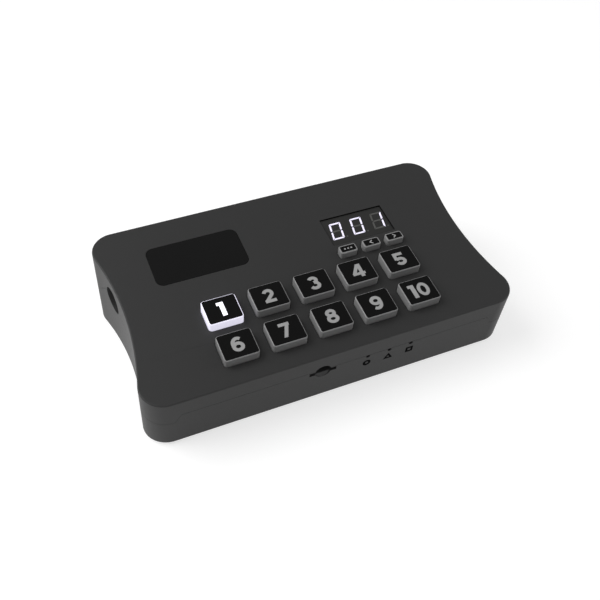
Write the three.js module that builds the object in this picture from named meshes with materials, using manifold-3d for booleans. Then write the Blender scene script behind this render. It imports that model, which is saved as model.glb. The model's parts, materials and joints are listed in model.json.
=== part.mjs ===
// A desktop USB lighting controller: a moulded wedge with drawn-in sides, ten numbered keys,
// three small keys under a three-digit display, a card slot in front and two output sockets behind.
//
// Millimetres. The origin is the centre of the footprint on the surface that the feet stand on.
// +X runs along the long side to the right, +Y to the back and +Z up.
//
// The pieces are drawn with the top of the case level and its underside falling to the back. At the
// end they are leant back together, which lays the underside level and lets the top rise to the back.
import * as THREE from "three";
import { mergeVertices } from "three/addons/utils/BufferGeometryUtils.js";
import Module from "manifold-3d";

const wasm = await Module();
wasm.setup();

// Driving sizes of the case
const deskTilt = 10.4; // degrees between the top and the underside
const wallDraft = 0.8; // degrees by which the walls spread on their way down
const caseWidth = 161.8; // along the top
const caseDepth = 90.2;
const frontHeight = 27.6; // of the front wall, square to the top
const waistDepth = 4.4; // how far each side is drawn in at its middle
const cornerRadius = 9.8;
const wall = 2.4;
const topWall = 2.4;
const floorWall = 2.2;
const topEdgeRound = 0.6;
const bottomEdgeRound = 0.8;
const footRise = 1.0; // the case hangs this far above the table

// Gaps shared by the fits
const seatGap = 0.3; // between a piece and what carries it
const fitGap = 0.15; // between a trim piece and the recess that it is glued in
const seamGap = 0.15; // the line between the two shells
const overrun = 4.0; // how far a cutter runs past the wall that it opens

// Large keys
const keyWidth = 14.5;
const keyDepth = 12.5;
const keyRise = 3.8; // of the key top above the case
const keyCorner = 1.3;
const keyEdge = 0.45; // round along the key's top edge
const keyWall = 1.3;
const keyTopWall = 1.8;
const keyTravel = 0.8;
const keyClearance = 0.3; // between a key and its opening
const keyColumns = 5;

// Small keys
const smallKeyWidth = 8.0;
const smallKeyDepth = 4.4;
const smallKeyRise = 3.0;
const smallKeyCorner = 1.1;
const smallKeyEdge = 0.4;
const smallKeyWall = 0.9;
const smallKeySpace = 1.4; // between two small flanges

// Flange that stops a key under the top wall
const flangeLip = 1.25; // past the large key's side
const smallFlangeLip = 0.9;
const flangeThickness = 1.2;

// Ribs that keep the light of one key from the next
const ribThickness = 1.2;
const ribSideGap = 0.9;
const ribEndGap = 0.92;
const ribBoardGap = 3.2;

// Tact switches and the stems that press them
const switchSize = 5.2;
const switchHeight = 3.6;
const switchFloor = 1.2;
const stemRadius = 1.5;
const stemClearance = 0.3;
const stemSpare = 0.3; // between the stem's end and the switch's inner floor with the key down

// Circuit board
const boardDrop = 9.2; // from the inside of the top wall to the board's top
const boardThickness = 1.6;
const boardSideGap = 7.3;
const boardEndGap = 1.45; // from the front wall and from the back wall
const boardBossGap = 0.6;

// Bays between the rows, as shares of the depth that keys, ribs and window leave over
const frontBayShare = 0.133; // from the front wall to the first rib
const smallKeyBayShare = 0.028;
const windowBayShare = 0.096;

// Display
const windowWidth = 30.2;
const windowDepth = 15.9;
const windowOverhang = 0.95; // past the last key's right side
const lensSink = 0.55; // of the film's face below the case top
const lensThickness = 0.5;
const displayStand = 1.6; // height of the module's pins
const displayPinRadius = 0.3;
const displayPins = 5;
const displayPinPitch = 2.54;

// Blank badge plate
const badgeWidth = 40.9;
const badgeDepth = 21.3;
const badgeCorner = 3.5;
const badgeThickness = 0.4;
const badgeShift = 0.25; // right of the second key column
const badgeRise = 5.4; // behind the middle of the window

// Memory card slot and its thumb notch
const slotWidth = 11.8;
const slotHeight = 1.9;
const slotRise = 0.4; // above the board
const notchRadius = 3.5;
const notchScoop = 0.9;
const notchRise = 1.6; // of its centre above the board
const cardSocketWidth = 12.0;
const cardSocketWall = 0.5;
const cardSocketSpace = 0.5; // from the switch beside it
const cardSocketDepth = 14.5;
const cardMouthHeight = 1.0;
const cardMouthDepth = 12.0;
const cardSocketSetback = 0.2;
const tongueCover = 0.5; // wall left above the slot

// Front status lights
const lightHoleRadius = 0.65;
const lightClearance = 0.1;
const lightCount = 3;
const lightPitch = 9.9;
const firstLightX = 10.9;
const lightRise = 2.05;
const lightSetback = 0.1;
const lightBlockWidth = 2.0;
const lightBlockDepth = 1.9;
const lightBlockCover = 0.4;

// Left socket for the computer lead, at the bottom of a round well
const wellRadius = 6.1;
const wellWall = 1.6;
const wellWeb = 1.2;
const wellShift = 3.05; // behind the middle of the window
const usbWidth = 8.94;
const usbHeight = 3.16;
const usbDepth = 7.3;
const usbShell = 0.3;
const usbFlat = 0.2; // half the straight stretch at its two ends
const usbMouthDepth = 6.2;
const usbTongueWidth = 6.7;
const usbTongueHeight = 0.7;
const usbTongueSetback = 0.8;
const usbSink = 4.7; // of its mouth behind the waist of the side
const usbProud = 0.5; // of its mouth before the web
const usbRise = 0.6; // of its centre above the board

// Output sockets in the back wall, under the board
const socketSideInset = 44.9; // from the side of the case to the socket's middle
const noseRadius = 10.8;
const socketBoreRadius = 9.7;
const socketBodyWidth = 26.0;
const socketBodyDepth = 16.7;
const socketBodyMargin = 0.4; // of the body beyond the nose, above and below
const socketBackWall = 2.0;
const insertRadius = 7.7;
const insertSink = 0.8;
const contactHoleRadius = 1.35;
const contactCircle = 3.5;
const contactDepth = 12.0;
const keywayWidth = 1.8;
const keywayDepth = 1.0;

// Screws and bosses
const cornerBossInset = 2.05; // from the corner's centre towards the middle
const lowerBossRadius = 4.2;
const upperBossRadius = 3.6;
const bossJointDrop = 7.4; // of the joint between two bosses below the board
const bossFloor = 4.4; // between that joint and the seat of the screw's head
const caseScrewRadius = 1.45;
const caseScrewHeadRadius = 2.7;
const caseScrewHeadHeight = 1.8;
const caseScrewLength = 12.0;
const headClearance = 0.3;
const boreClearance = 0.25;
const pilotClearance = 0.12;
const pilotSpare = 1.4; // of the pilot hole beyond the screw's end
const boardBossRadius = 2.8;
const boardBossSide = 7.0; // in from the board's side edge
const boardBossFront = 4.8;
const boardBossSpace = 1.0; // from the left socket to the rear bosses' line
const boardScrewRadius = 1.2;
const boardScrewHeadRadius = 2.3;
const boardScrewHeadHeight = 1.6;
const boardScrewLength = 6.5;
const recessWidth = 0.7;
const recessDepth = 0.9;
const recessSpan = 2.4;

// Feet
const footRadius = 5.1;
const footPocketDepth = 0.8;
const footSideInset = 23.15; // from the side of the case
const footEndInset = 11.15;
const footEdge = 0.4;

// Seam between the shells
const seamDrop = 1.6; // below the board's top along the sides
const seamCrest = 3.4; // how far it steps up at the well, before it falls to the output sockets
const tongueSide = 13.1; // from the side of the case to the tongue's shoulder
const tongueSlope = 2.4;
const lipRise = 1.4;
const lipInset = 1.3;
const lipGap = 0.15;

// Processor
const chipSize = 10.0;
const chipHeight = 1.4;
const chipEdge = 0.3;

// Facet counts
const cornerSteps = 8;
const sideSteps = 10;
const edgeSteps = 2;
const keyCornerSteps = 3;
const badgeCornerSteps = 5;
const boreSides = 32;
const boltSides = 12;
const pinSides = 8;
const footSides = 24;

// Slopes
const tilt = THREE.MathUtils.degToRad(deskTilt);
const slope = Math.tan(tilt);
const draftShare = Math.tan(THREE.MathUtils.degToRad(wallDraft));

// Heights
const caseTop = footRise + frontHeight;
const ceiling = caseTop - topWall;
const boardTop = ceiling - boardDrop;
const boardBottom = boardTop - boardThickness;
const onBoard = boardTop + seatGap;
const underBoard = boardBottom - seatGap;
const switchTop = onBoard + switchHeight;
const switchBoreFloor = onBoard + switchFloor;
const flangeTop = ceiling - seatGap;
const flangeBottom = flangeTop - flangeThickness;
const stemEnd = switchBoreFloor + keyTravel + stemSpare;
const ribBottom = boardTop + ribBoardGap;
const slotBottom = boardTop + slotRise;
const slotTop = slotBottom + slotHeight;
const lightZ = boardTop + lightRise;
const notchZ = boardTop + notchRise;
const wellZ = boardTop + usbRise;
const socketBodyHeight = 2 * (noseRadius + socketBodyMargin);
const socketZ = underBoard - socketBodyHeight / 2;
const lensTop = caseTop - lensSink;
const lensBottom = lensTop - lensThickness;
const seamZ = boardTop - seamDrop;
const crestZ = seamZ + seamCrest;
const rearSeamZ = socketZ;
const tongueZ = slotTop + tongueCover;
const jointZ = boardBottom - bossJointDrop;
const headSeatZ = jointZ - bossFloor;

// Key grid and the rows of the layout
const flangeWidth = keyWidth + 2 * flangeLip;
const flangeDepth = keyDepth + 2 * flangeLip;
const keyPitchX = flangeWidth + ribThickness + 2 * ribSideGap;
const keyPitchY = flangeDepth + ribThickness + 2 * ribEndGap;
const smallFlangeWidth = smallKeyWidth + 2 * smallFlangeLip;
const smallFlangeDepth = smallKeyDepth + 2 * smallFlangeLip;
const smallPitch = smallFlangeWidth + smallKeySpace;
const gridDepth = 2 * keyPitchY;
const rowsDepth = gridDepth + ribThickness / 2 + smallFlangeDepth + windowDepth;
const spareDepth = caseDepth - 2 * wall - rowsDepth;
const smallKeyBay = spareDepth * smallKeyBayShare;
const windowBay = spareDepth * windowBayShare;
const frontY = -caseDepth / 2;
const backY = caseDepth / 2;
const bottomLevel = footRise + slope * frontY; // of the underside, at y = 0
const firstRibY = frontY + wall + spareDepth * frontBayShare;
const frontRowY = firstRibY + keyPitchY / 2;
const backRowY = frontRowY + keyPitchY;
const smallKeyY = firstRibY + gridDepth + ribThickness / 2 + smallKeyBay + smallFlangeDepth / 2;
const windowY = smallKeyY + smallFlangeDepth / 2 + windowBay + windowDepth / 2;
const windowX = ((keyColumns - 1) / 2) * keyPitchX + keyWidth / 2 + windowOverhang - windowWidth / 2;
const socketFrontY = backY - wall - seatGap - socketBodyDepth;
const socketFaceY = backY + draftShare * (caseTop - socketZ);
const badgeX = -keyPitchX * ((keyColumns - 1) / 2) + badgeShift;
const badgeY = windowY + badgeRise;
const wellY = windowY + wellShift;

// Sides, corners and board edges
const cornerX = caseWidth / 2 - cornerRadius;
const cornerY = caseDepth / 2 - cornerRadius;
const sideRun = cornerRadius - waistDepth;
const sideRadius = (sideRun ** 2 + cornerY ** 2 - cornerRadius ** 2) / (2 * waistDepth);
const waistX = caseWidth / 2 - waistDepth;
const sideCentreX = waistX + sideRadius;
const boardHalfWidth = waistX - wall - boardSideGap;
const boardFrontY = frontY + wall + boardEndGap;
const boardRearY = backY - wall - boardEndGap;
const usbMouthX = -waistX + usbSink;
const slotX = -(switchSize / 2 + cardSocketSpace + cardSocketWidth / 2);

// Geometry to solid

function solidOf(geometry) {
  const bare = geometry.clone();
  bare.deleteAttribute("normal");
  bare.deleteAttribute("uv");
  const merged = mergeVertices(bare);
  return new wasm.Manifold(new wasm.Mesh({
    numProp: 3,
    vertProperties: merged.attributes.position.array,
    triVerts: new Uint32Array(merged.index.array),
  }));
}

function joined(solids) {
  return solids.reduce((whole, piece) => whole.add(piece));
}

function cutAway(body, cutters) {
  return cutters.reduce((left, cutter) => left.subtract(cutter), body);
}

// Skins stacked rings, lowest first, into a closed solid. All have as many points.
function loft(rings) {
  const count = rings[0].length;
  const positions = rings.flatMap((ring) => ring.flatMap((p) => [p.x, p.y, p.z]));
  const index = [];
  for (let layer = 0; layer + 1 < rings.length; layer += 1) {
    for (let i = 0; i < count; i += 1) {
      const here = layer * count + i;
      const next = layer * count + ((i + 1) % count);
      index.push(here, next, next + count, here, next + count, here + count);
    }
  }
  const last = (rings.length - 1) * count;
  THREE.ShapeUtils.triangulateShape(rings[0], []).forEach(([a, b, c]) => {
    index.push(c, b, a);
  });
  THREE.ShapeUtils.triangulateShape(rings.at(-1), []).forEach(([a, b, c]) => {
    index.push(last + a, last + b, last + c);
  });
  const geometry = new THREE.BufferGeometry();
  geometry.setAttribute("position", new THREE.Float32BufferAttribute(positions, 3));
  geometry.setIndex(index);
  return solidOf(geometry);
}

function levelRing(outline, z) {
  return outline.map((p) => new THREE.Vector3(p.x, p.y, z));
}

function plate(outline, low, high) {
  return loft([levelRing(outline, low), levelRing(outline, high)]);
}

function block([xLow, xHigh], [yLow, yHigh], [zLow, zHigh]) {
  const box = new THREE.BoxGeometry(xHigh - xLow, yHigh - yLow, zHigh - zLow);
  box.translate((xLow + xHigh) / 2, (yLow + yHigh) / 2, (zLow + zHigh) / 2);
  return solidOf(box);
}

// Round bars along one axis, from low to high, about the given centre line
function barZ(radius, [x, y], [low, high], sides) {
  const bar = new THREE.CylinderGeometry(radius, radius, high - low, sides);
  bar.rotateX(Math.PI / 2);
  bar.translate(x, y, (low + high) / 2);
  return solidOf(bar);
}

function barY(radius, [x, z], [low, high], sides) {
  const bar = new THREE.CylinderGeometry(radius, radius, high - low, sides);
  bar.translate(x, (low + high) / 2, z);
  return solidOf(bar);
}

function barX(radius, [y, z], [low, high], sides) {
  const bar = new THREE.CylinderGeometry(radius, radius, high - low, sides);
  bar.rotateZ(Math.PI / 2);
  bar.translate((low + high) / 2, y, z);
  return solidOf(bar);
}

// Prism of an outline drawn in y and z, run along X
function prismX(outline, [low, high]) {
  const shape = new THREE.Shape(outline);
  const prism = new THREE.ExtrudeGeometry(shape, { depth: high - low, bevelEnabled: false });
  const frame = new THREE.Matrix4().makeBasis(
    new THREE.Vector3(0, 1, 0),
    new THREE.Vector3(0, 0, 1),
    new THREE.Vector3(1, 0, 0),
  );
  prism.applyMatrix4(frame);
  prism.translate(low, 0, 0);
  return solidOf(prism);
}

// Prism of an outline drawn in x and z, run along Y
function prismY(outline, [low, high]) {
  const shape = new THREE.Shape(outline);
  const prism = new THREE.ExtrudeGeometry(shape, { depth: high - low, bevelEnabled: false });
  prism.rotateX(Math.PI / 2);
  prism.translate(0, high, 0);
  return solidOf(prism);
}

// Outlines

function corners(pairs) {
  return pairs.map(([x, y]) => new THREE.Vector2(x, y));
}

function moved(outline, x, y) {
  return outline.map((p) => new THREE.Vector2(p.x + x, p.y + y));
}

function arc(centreX, centreY, radius, from, to, steps) {
  const points = [];
  for (let i = 0; i <= steps; i += 1) {
    const angle = from + ((to - from) * i) / steps;
    points.push(new THREE.Vector2(
      centreX + radius * Math.cos(angle),
      centreY + radius * Math.sin(angle),
    ));
  }
  return points;
}

function roundedRectangle(width, depth, radius, steps) {
  const x = width / 2 - radius;
  const y = depth / 2 - radius;
  const quarter = Math.PI / 2;
  return [
    ...arc(x, -y, radius, -quarter, 0, steps),
    ...arc(x, y, radius, 0, quarter, steps),
    ...arc(-x, y, radius, quarter, 2 * quarter, steps),
    ...arc(-x, -y, radius, 2 * quarter, 3 * quarter, steps),
  ];
}

// The case's plan: straight front and back, round corners, sides that sweep in along one large arc
function caseOutline(inset) {
  const lean = Math.atan2(cornerY, sideCentreX - cornerX);
  const cornerArc = cornerRadius - inset;
  const sideArc = sideRadius + inset;
  const rightHalf = [
    ...arc(cornerX, -cornerY, cornerArc, -Math.PI / 2, lean, cornerSteps),
    ...arc(sideCentreX, 0, sideArc, Math.PI + lean, Math.PI - lean, sideSteps).slice(1, -1),
    ...arc(cornerX, cornerY, cornerArc, -lean, Math.PI / 2, cornerSteps),
  ];
  const leftHalf = rightHalf.map((p) => new THREE.Vector2(-p.x, -p.y));
  return [...rightHalf, ...leftHalf];
}

// Ring of the case's walls where they meet a plane, which has the given level at y = 0 and falls to
// the back by its fall for each millimetre. The walls spread by their draft below the case top.
function wallRing(inset, level, fall) {
  const outline = caseOutline(inset);
  const outer = caseOutline(inset - wall);
  return outline.map((p, i) => {
    const spread = outer[i].clone().sub(p).multiplyScalar(draftShare / wall);
    const depth = (caseTop - level + fall * p.y) / (1 - fall * spread.y);
    return new THREE.Vector3(p.x + spread.x * depth, p.y + spread.y * depth, caseTop - depth);
  });
}

function undersideAt(y) {
  return bottomLevel - slope * y;
}

// Rings of a rounded edge, from the end face inwards. ringAt takes an inset and a distance from
// the face.
function roundedEdge(ringAt, radius) {
  const rings = [];
  for (let i = 0; i <= edgeSteps; i += 1) {
    const angle = ((Math.PI / 2) * i) / edgeSteps;
    rings.push(ringAt(radius * (1 - Math.sin(angle)), radius * (1 - Math.cos(angle))));
  }
  return rings;
}

// Places of what repeats

const keyPlaces = [];
for (const y of [backRowY, frontRowY]) {
  for (let column = 0; column < keyColumns; column += 1) {
    keyPlaces.push([(column - (keyColumns - 1) / 2) * keyPitchX, y]);
  }
}
const smallKeyPlaces = [-1, 0, 1].map((side) => [windowX + side * smallPitch, smallKeyY]);

function fourCorners(x, y) {
  return [[-x, -y], [x, -y], [-x, y], [x, y]];
}

const cornerBossPlaces = fourCorners(cornerX - cornerBossInset, cornerY - cornerBossInset);
const footPlaces = fourCorners(caseWidth / 2 - footSideInset, caseDepth / 2 - footEndInset);
const boardBossX = boardHalfWidth - boardBossSide;
const boardBossFrontY = boardFrontY + boardBossFront;
const boardBossRearY = wellY + usbWidth / 2 + boardBossSpace + boardBossRadius;
const boardBossPlaces = [
  [-boardBossX, boardBossFrontY],
  [boardBossX, boardBossFrontY],
  [-boardBossX, boardBossRearY],
  [boardBossX, boardBossRearY],
];
const socketPlaces = [-1, 1].map((side) => side * (caseWidth / 2 - socketSideInset));

// Case

function caseBody() {
  const low = (inset, lift) => wallRing(inset, bottomLevel + lift, slope);
  const high = (inset, lift) => wallRing(inset, caseTop - lift, 0);
  return loft([...roundedEdge(low, bottomEdgeRound), ...roundedEdge(high, topEdgeRound).reverse()]);
}

function caseCavity() {
  return loft([wallRing(wall, bottomLevel + floorWall, slope), wallRing(wall, ceiling, 0)]);
}

// The case as one hollow skin, with the tube and web of the round well in its left side
function caseShell() {
  const body = caseBody();
  const reach = [-caseWidth / 2 - overrun, usbMouthX + usbProud + wellWeb];
  const tube = barX(wellRadius + wellWall, [wellY, wellZ], reach, boreSides);
  return body.subtract(caseCavity()).add(tube.intersect(body));
}

// Everything under the seam, lifted by a small amount. It steps up within the well's mouth, falls
// at 45 degrees to the middle of the output sockets, and rises in a tongue in the front wall.
function underSeam(lift) {
  const far = caseWidth;
  const start = wellY + wellRadius;
  const sides = prismX(corners([
    [-far, -far],
    [far, -far],
    [far, rearSeamZ + lift],
    [start + crestZ - rearSeamZ, rearSeamZ + lift],
    [start, crestZ + lift],
    [start - seamCrest, crestZ + lift],
    [start - 2 * seamCrest, seamZ + lift],
    [-far, seamZ + lift],
  ]), [-far, far]);
  const foot = caseWidth / 2 - tongueSide + tongueSlope;
  const shoulder = caseWidth / 2 - tongueSide;
  const tongue = prismY(corners([
    [-foot, seamZ - wall],
    [foot, seamZ - wall],
    [foot, seamZ + lift],
    [shoulder, tongueZ + lift],
    [-shoulder, tongueZ + lift],
    [-foot, seamZ + lift],
  ]), [-far, -cornerY]);
  return sides.add(tongue);
}

// The lower shell's region, with the lip that stands inside the upper shell's wall
function lowerRegion(lift, inset, rise) {
  const core = loft([wallRing(inset, bottomLevel, slope), wallRing(inset, caseTop, 0)]);
  return underSeam(lift).add(core.intersect(underSeam(rise)));
}

function wellBore() {
  const start = -caseWidth / 2 - overrun;
  return barX(wellRadius, [wellY, wellZ], [start, usbMouthX + usbProud], boreSides);
}

// The left socket's mouth in y and z: a flat pill
function usbOutline(grow) {
  const width = usbWidth + 2 * grow;
  const height = usbHeight + 2 * grow;
  return moved(roundedRectangle(width, height, height / 2 - usbFlat, keyCornerSteps), wellY, wellZ);
}

function usbCutter() {
  const inner = usbMouthX + usbProud;
  return prismX(usbOutline(fitGap), [inner - overrun, inner + wellWeb + overrun]);
}

function socketCutter(x) {
  const radius = noseRadius + seatGap;
  return barY(radius, [x, socketZ], [backY - wall - seatGap, backY + overrun], boreSides);
}

function keyCutter([x, y], width, depth, corner) {
  const outline = roundedRectangle(
    width + 2 * keyClearance,
    depth + 2 * keyClearance,
    corner + keyClearance,
    keyCornerSteps,
  );
  return plate(moved(outline, x, y), ceiling - seatGap, caseTop + overrun);
}

function windowCutter() {
  return block(
    [windowX - windowWidth / 2, windowX + windowWidth / 2],
    [windowY - windowDepth / 2, windowY + windowDepth / 2],
    [ceiling - seatGap, caseTop + overrun],
  );
}

function badgeOutline(inset) {
  const outline = roundedRectangle(
    badgeWidth - 2 * inset,
    badgeDepth - 2 * inset,
    badgeCorner - inset,
    badgeCornerSteps,
  );
  return moved(outline, badgeX, badgeY);
}

function badgeCutter() {
  return plate(badgeOutline(0), caseTop - badgeThickness - seatGap, caseTop + overrun);
}

// Walls that part the keys' light, fused to the top wall
function lightRibs() {
  const half = (keyColumns / 2) * keyPitchX;
  const ribs = [];
  const heights = [ribBottom, ceiling + topWall / 2];
  for (let line = 0; line <= 2; line += 1) {
    const y = firstRibY + line * keyPitchY;
    ribs.push(block(
      [-half - ribThickness / 2, half + ribThickness / 2],
      [y - ribThickness / 2, y + ribThickness / 2],
      heights,
    ));
  }
  for (let line = 0; line <= keyColumns; line += 1) {
    const x = line * keyPitchX - half;
    ribs.push(block(
      [x - ribThickness / 2, x + ribThickness / 2],
      [firstRibY, firstRibY + gridDepth],
      heights,
    ));
  }
  return joined(ribs);
}

function bosses(places, radius, low, high) {
  return joined(places.map((place) => barZ(radius, place, [low, high], boreSides / 2)));
}

// Half-round hole over a shallow scoop, where a thumb reaches the card
function thumbNotch() {
  const reach = [frontY - overrun, frontY + wall + overrun];
  const hole = barY(notchRadius, [slotX, notchZ], reach, boreSides)
    .intersect(block([slotX - notchRadius, slotX + notchRadius], reach, [notchZ, caseTop]));
  const scoop = barY(notchRadius, [slotX, notchZ], [frontY - overrun, frontY + notchScoop], boreSides);
  return hole.add(scoop);
}

function slotCutter() {
  return block(
    [slotX - slotWidth / 2, slotX + slotWidth / 2],
    [frontY - overrun, frontY + wall + overrun],
    [slotBottom, slotTop],
  );
}

const lightPlaces = [];
for (let i = 0; i < lightCount; i += 1) {
  lightPlaces.push(firstLightX + i * lightPitch);
}

function lightCutter(x) {
  return barY(lightHoleRadius, [x, lightZ], [frontY - overrun, frontY + wall + overrun], boltSides);
}

function sharedCutters() {
  return [wellBore(), usbCutter(), thumbNotch(), ...socketPlaces.map(socketCutter)];
}

function topShell() {
  const region = lowerRegion(seamGap / 2, lipInset - lipGap, lipRise + lipGap);
  const walls = caseShell().subtract(region);
  const pilotTop = headSeatZ + caseScrewLength + pilotSpare;
  const anchored = ceiling + topWall / 2;
  const body = joined([
    walls,
    lightRibs(),
    bosses(cornerBossPlaces, upperBossRadius, jointZ + seatGap, anchored),
    bosses(boardBossPlaces, boardBossRadius, onBoard, anchored),
  ]);
  const casePilot = caseScrewRadius + pilotClearance;
  const boardPilot = boardScrewRadius + pilotClearance;
  const boardPilotTop = boardBottom + boardScrewLength + pilotSpare;
  return cutAway(body, [
    ...sharedCutters(),
    ...keyPlaces.map((place) => keyCutter(place, keyWidth, keyDepth, keyCorner)),
    ...smallKeyPlaces.map((place) => keyCutter(place, smallKeyWidth, smallKeyDepth, smallKeyCorner)),
    windowCutter(),
    badgeCutter(),
    ...cornerBossPlaces.map((place) => barZ(casePilot, place, [jointZ - overrun, pilotTop], boltSides)),
    ...boardBossPlaces.map((place) => barZ(boardPilot, place, [boardBottom, boardPilotTop], boltSides)),
  ]);
}

// Recess for a foot, square to the underside
function footPocket([x, y]) {
  const radius = footRadius + fitGap;
  const pocket = new THREE.CylinderGeometry(radius, radius, footPocketDepth + overrun, footSides);
  pocket.translate(0, (footPocketDepth - overrun) / 2, 0);
  pocket.rotateX(Math.PI / 2 - tilt);
  pocket.translate(x, y, undersideAt(y));
  return solidOf(pocket);
}

function bottomShell() {
  const walls = caseShell().intersect(lowerRegion(-seamGap / 2, lipInset, lipRise));
  const below = undersideAt(backY) - overrun;
  const lowerBosses = bosses(cornerBossPlaces, lowerBossRadius, below, jointZ).intersect(caseBody());
  return cutAway(walls.add(lowerBosses), [
    ...sharedCutters(),
    slotCutter(),
    ...lightPlaces.map(lightCutter),
    ...cornerBossPlaces.map((place) => barZ(
      caseScrewHeadRadius + headClearance,
      place,
      [below, headSeatZ],
      boreSides / 2,
    )),
    ...cornerBossPlaces.map((place) => barZ(
      caseScrewRadius + boreClearance,
      place,
      [headSeatZ - overrun, jointZ + overrun],
      boltSides,
    )),
    ...footPlaces.map(footPocket),
  ]);
}

// Keys and switches, modelled about their own upright centre line

function keySolid({ width, depth, rise, corner, edge, side, lip }) {
  const top = caseTop + rise;
  const outlineAt = (inset) => roundedRectangle(
    width - 2 * inset,
    depth - 2 * inset,
    corner - inset,
    keyCornerSteps,
  );
  const ringAt = (inset, lift) => levelRing(outlineAt(inset), top - lift);
  const cap = loft([levelRing(outlineAt(0), flangeBottom), ...roundedEdge(ringAt, edge).reverse()]);
  const flange = plate(outlineAt(-lip), flangeBottom, flangeTop);
  const hollow = plate(outlineAt(side), flangeBottom - overrun, top - keyTopWall);
  const stem = barZ(stemRadius, [0, 0], [stemEnd, top - keyTopWall / 2], boltSides);
  return cap.add(flange).subtract(hollow).add(stem);
}

function largeKey() {
  return keySolid({
    width: keyWidth,
    depth: keyDepth,
    rise: keyRise,
    corner: keyCorner,
    edge: keyEdge,
    side: keyWall,
    lip: flangeLip,
  });
}

function smallKey() {
  return keySolid({
    width: smallKeyWidth,
    depth: smallKeyDepth,
    rise: smallKeyRise,
    corner: smallKeyCorner,
    edge: smallKeyEdge,
    side: smallKeyWall,
    lip: smallFlangeLip,
  });
}

function tactSwitch() {
  const half = switchSize / 2;
  const housing = block([-half, half], [-half, half], [onBoard, switchTop]);
  const bore = stemRadius + stemClearance;
  return housing.subtract(barZ(bore, [0, 0], [switchBoreFloor, switchTop + overrun], boltSides));
}

// Display, badge and status lights

function displayLens() {
  return block(
    [windowX - windowWidth / 2 + fitGap, windowX + windowWidth / 2 - fitGap],
    [windowY - windowDepth / 2 + fitGap, windowY + windowDepth / 2 - fitGap],
    [lensBottom, lensTop],
  );
}

function displayModule() {
  const halfWidth = windowWidth / 2 - seatGap;
  const halfDepth = windowDepth / 2 - seatGap;
  const body = block(
    [windowX - halfWidth, windowX + halfWidth],
    [windowY - halfDepth, windowY + halfDepth],
    [onBoard + displayStand, lensBottom - seatGap],
  );
  const pins = [];
  for (const side of [-1, 1]) {
    for (let i = 0; i < displayPins; i += 1) {
      const x = windowX + (i - (displayPins - 1) / 2) * displayPinPitch;
      const y = windowY + side * (halfDepth - displayPinPitch / 2);
      pins.push(barZ(displayPinRadius, [x, y], [onBoard, lensBottom - displayStand], pinSides));
    }
  }
  return joined([body, ...pins]);
}

function badgePlate() {
  return plate(badgeOutline(fitGap), caseTop - badgeThickness, caseTop);
}

function statusLight() {
  const radius = lightHoleRadius - lightClearance;
  const half = lightBlockWidth / 2;
  const rod = barY(radius, [0, lightZ], [frontY + lightSetback, boardFrontY + radius], boltSides);
  return rod.add(block(
    [-half, half],
    [boardFrontY, boardFrontY + lightBlockDepth],
    [onBoard, lightZ + radius + lightBlockCover],
  ));
}

// Board and what stands on it

function mainBoard() {
  const slab = block(
    [-boardHalfWidth, boardHalfWidth],
    [boardFrontY, boardRearY],
    [boardBottom, boardTop],
  );
  const through = [boardBottom - overrun, boardTop + overrun];
  const usbBack = usbMouthX + usbDepth + seatGap;
  const usbHalf = usbWidth / 2 + seatGap;
  return cutAway(slab, [
    ...cornerBossPlaces.map((place) => barZ(
      lowerBossRadius + boardBossGap,
      place,
      through,
      boreSides / 2,
    )),
    ...boardBossPlaces.map((place) => barZ(
      boardScrewRadius + boreClearance,
      place,
      through,
      boltSides,
    )),
    block([-caseWidth, usbBack], [wellY - usbHalf, wellY + usbHalf], through),
  ]);
}

function controllerChip() {
  const outlineAt = (inset) => {
    const size = chipSize - 2 * inset;
    return moved(roundedRectangle(size, size, 2 * chipEdge - inset, 1), badgeX, windowY);
  };
  return loft([
    levelRing(outlineAt(0), onBoard),
    levelRing(outlineAt(0), onBoard + chipHeight - chipEdge),
    levelRing(outlineAt(chipEdge), onBoard + chipHeight),
  ]);
}

function cardSocket() {
  const half = cardSocketWidth / 2;
  const front = boardFrontY + cardSocketSetback;
  const body = block(
    [slotX - half, slotX + half],
    [front, front + cardSocketDepth],
    [onBoard, onBoard + slotHeight],
  );
  const mouthHalf = half - cardSocketWall;
  const middle = onBoard + slotHeight / 2;
  return body.subtract(block(
    [slotX - mouthHalf, slotX + mouthHalf],
    [front - overrun, front + cardMouthDepth],
    [middle - cardMouthHeight / 2, middle + cardMouthHeight / 2],
  ));
}

function usbSocket() {
  const shell = prismX(usbOutline(0), [usbMouthX, usbMouthX + usbDepth]);
  const mouth = prismX(usbOutline(-usbShell), [usbMouthX - overrun, usbMouthX + usbMouthDepth]);
  const tongue = block(
    [usbMouthX + usbTongueSetback, usbMouthX + usbDepth - usbShell],
    [wellY - usbTongueWidth / 2, wellY + usbTongueWidth / 2],
    [wellZ - usbTongueHeight / 2, wellZ + usbTongueHeight / 2],
  );
  return shell.subtract(mouth).add(tongue);
}

// Output sockets, modelled about the plane x = 0

function outputSocket() {
  const half = socketBodyWidth / 2;
  const halfHeight = socketBodyHeight / 2;
  const boreFloor = socketFrontY + socketBackWall;
  const body = block(
    [-half, half],
    [socketFrontY, socketFrontY + socketBodyDepth],
    [socketZ - halfHeight, socketZ + halfHeight],
  );
  const nose = barY(noseRadius, [0, socketZ], [boreFloor, socketFaceY], boreSides);
  const bore = barY(socketBoreRadius, [0, socketZ], [boreFloor, socketFaceY + overrun], boreSides);
  return body.add(nose).subtract(bore);
}

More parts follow.
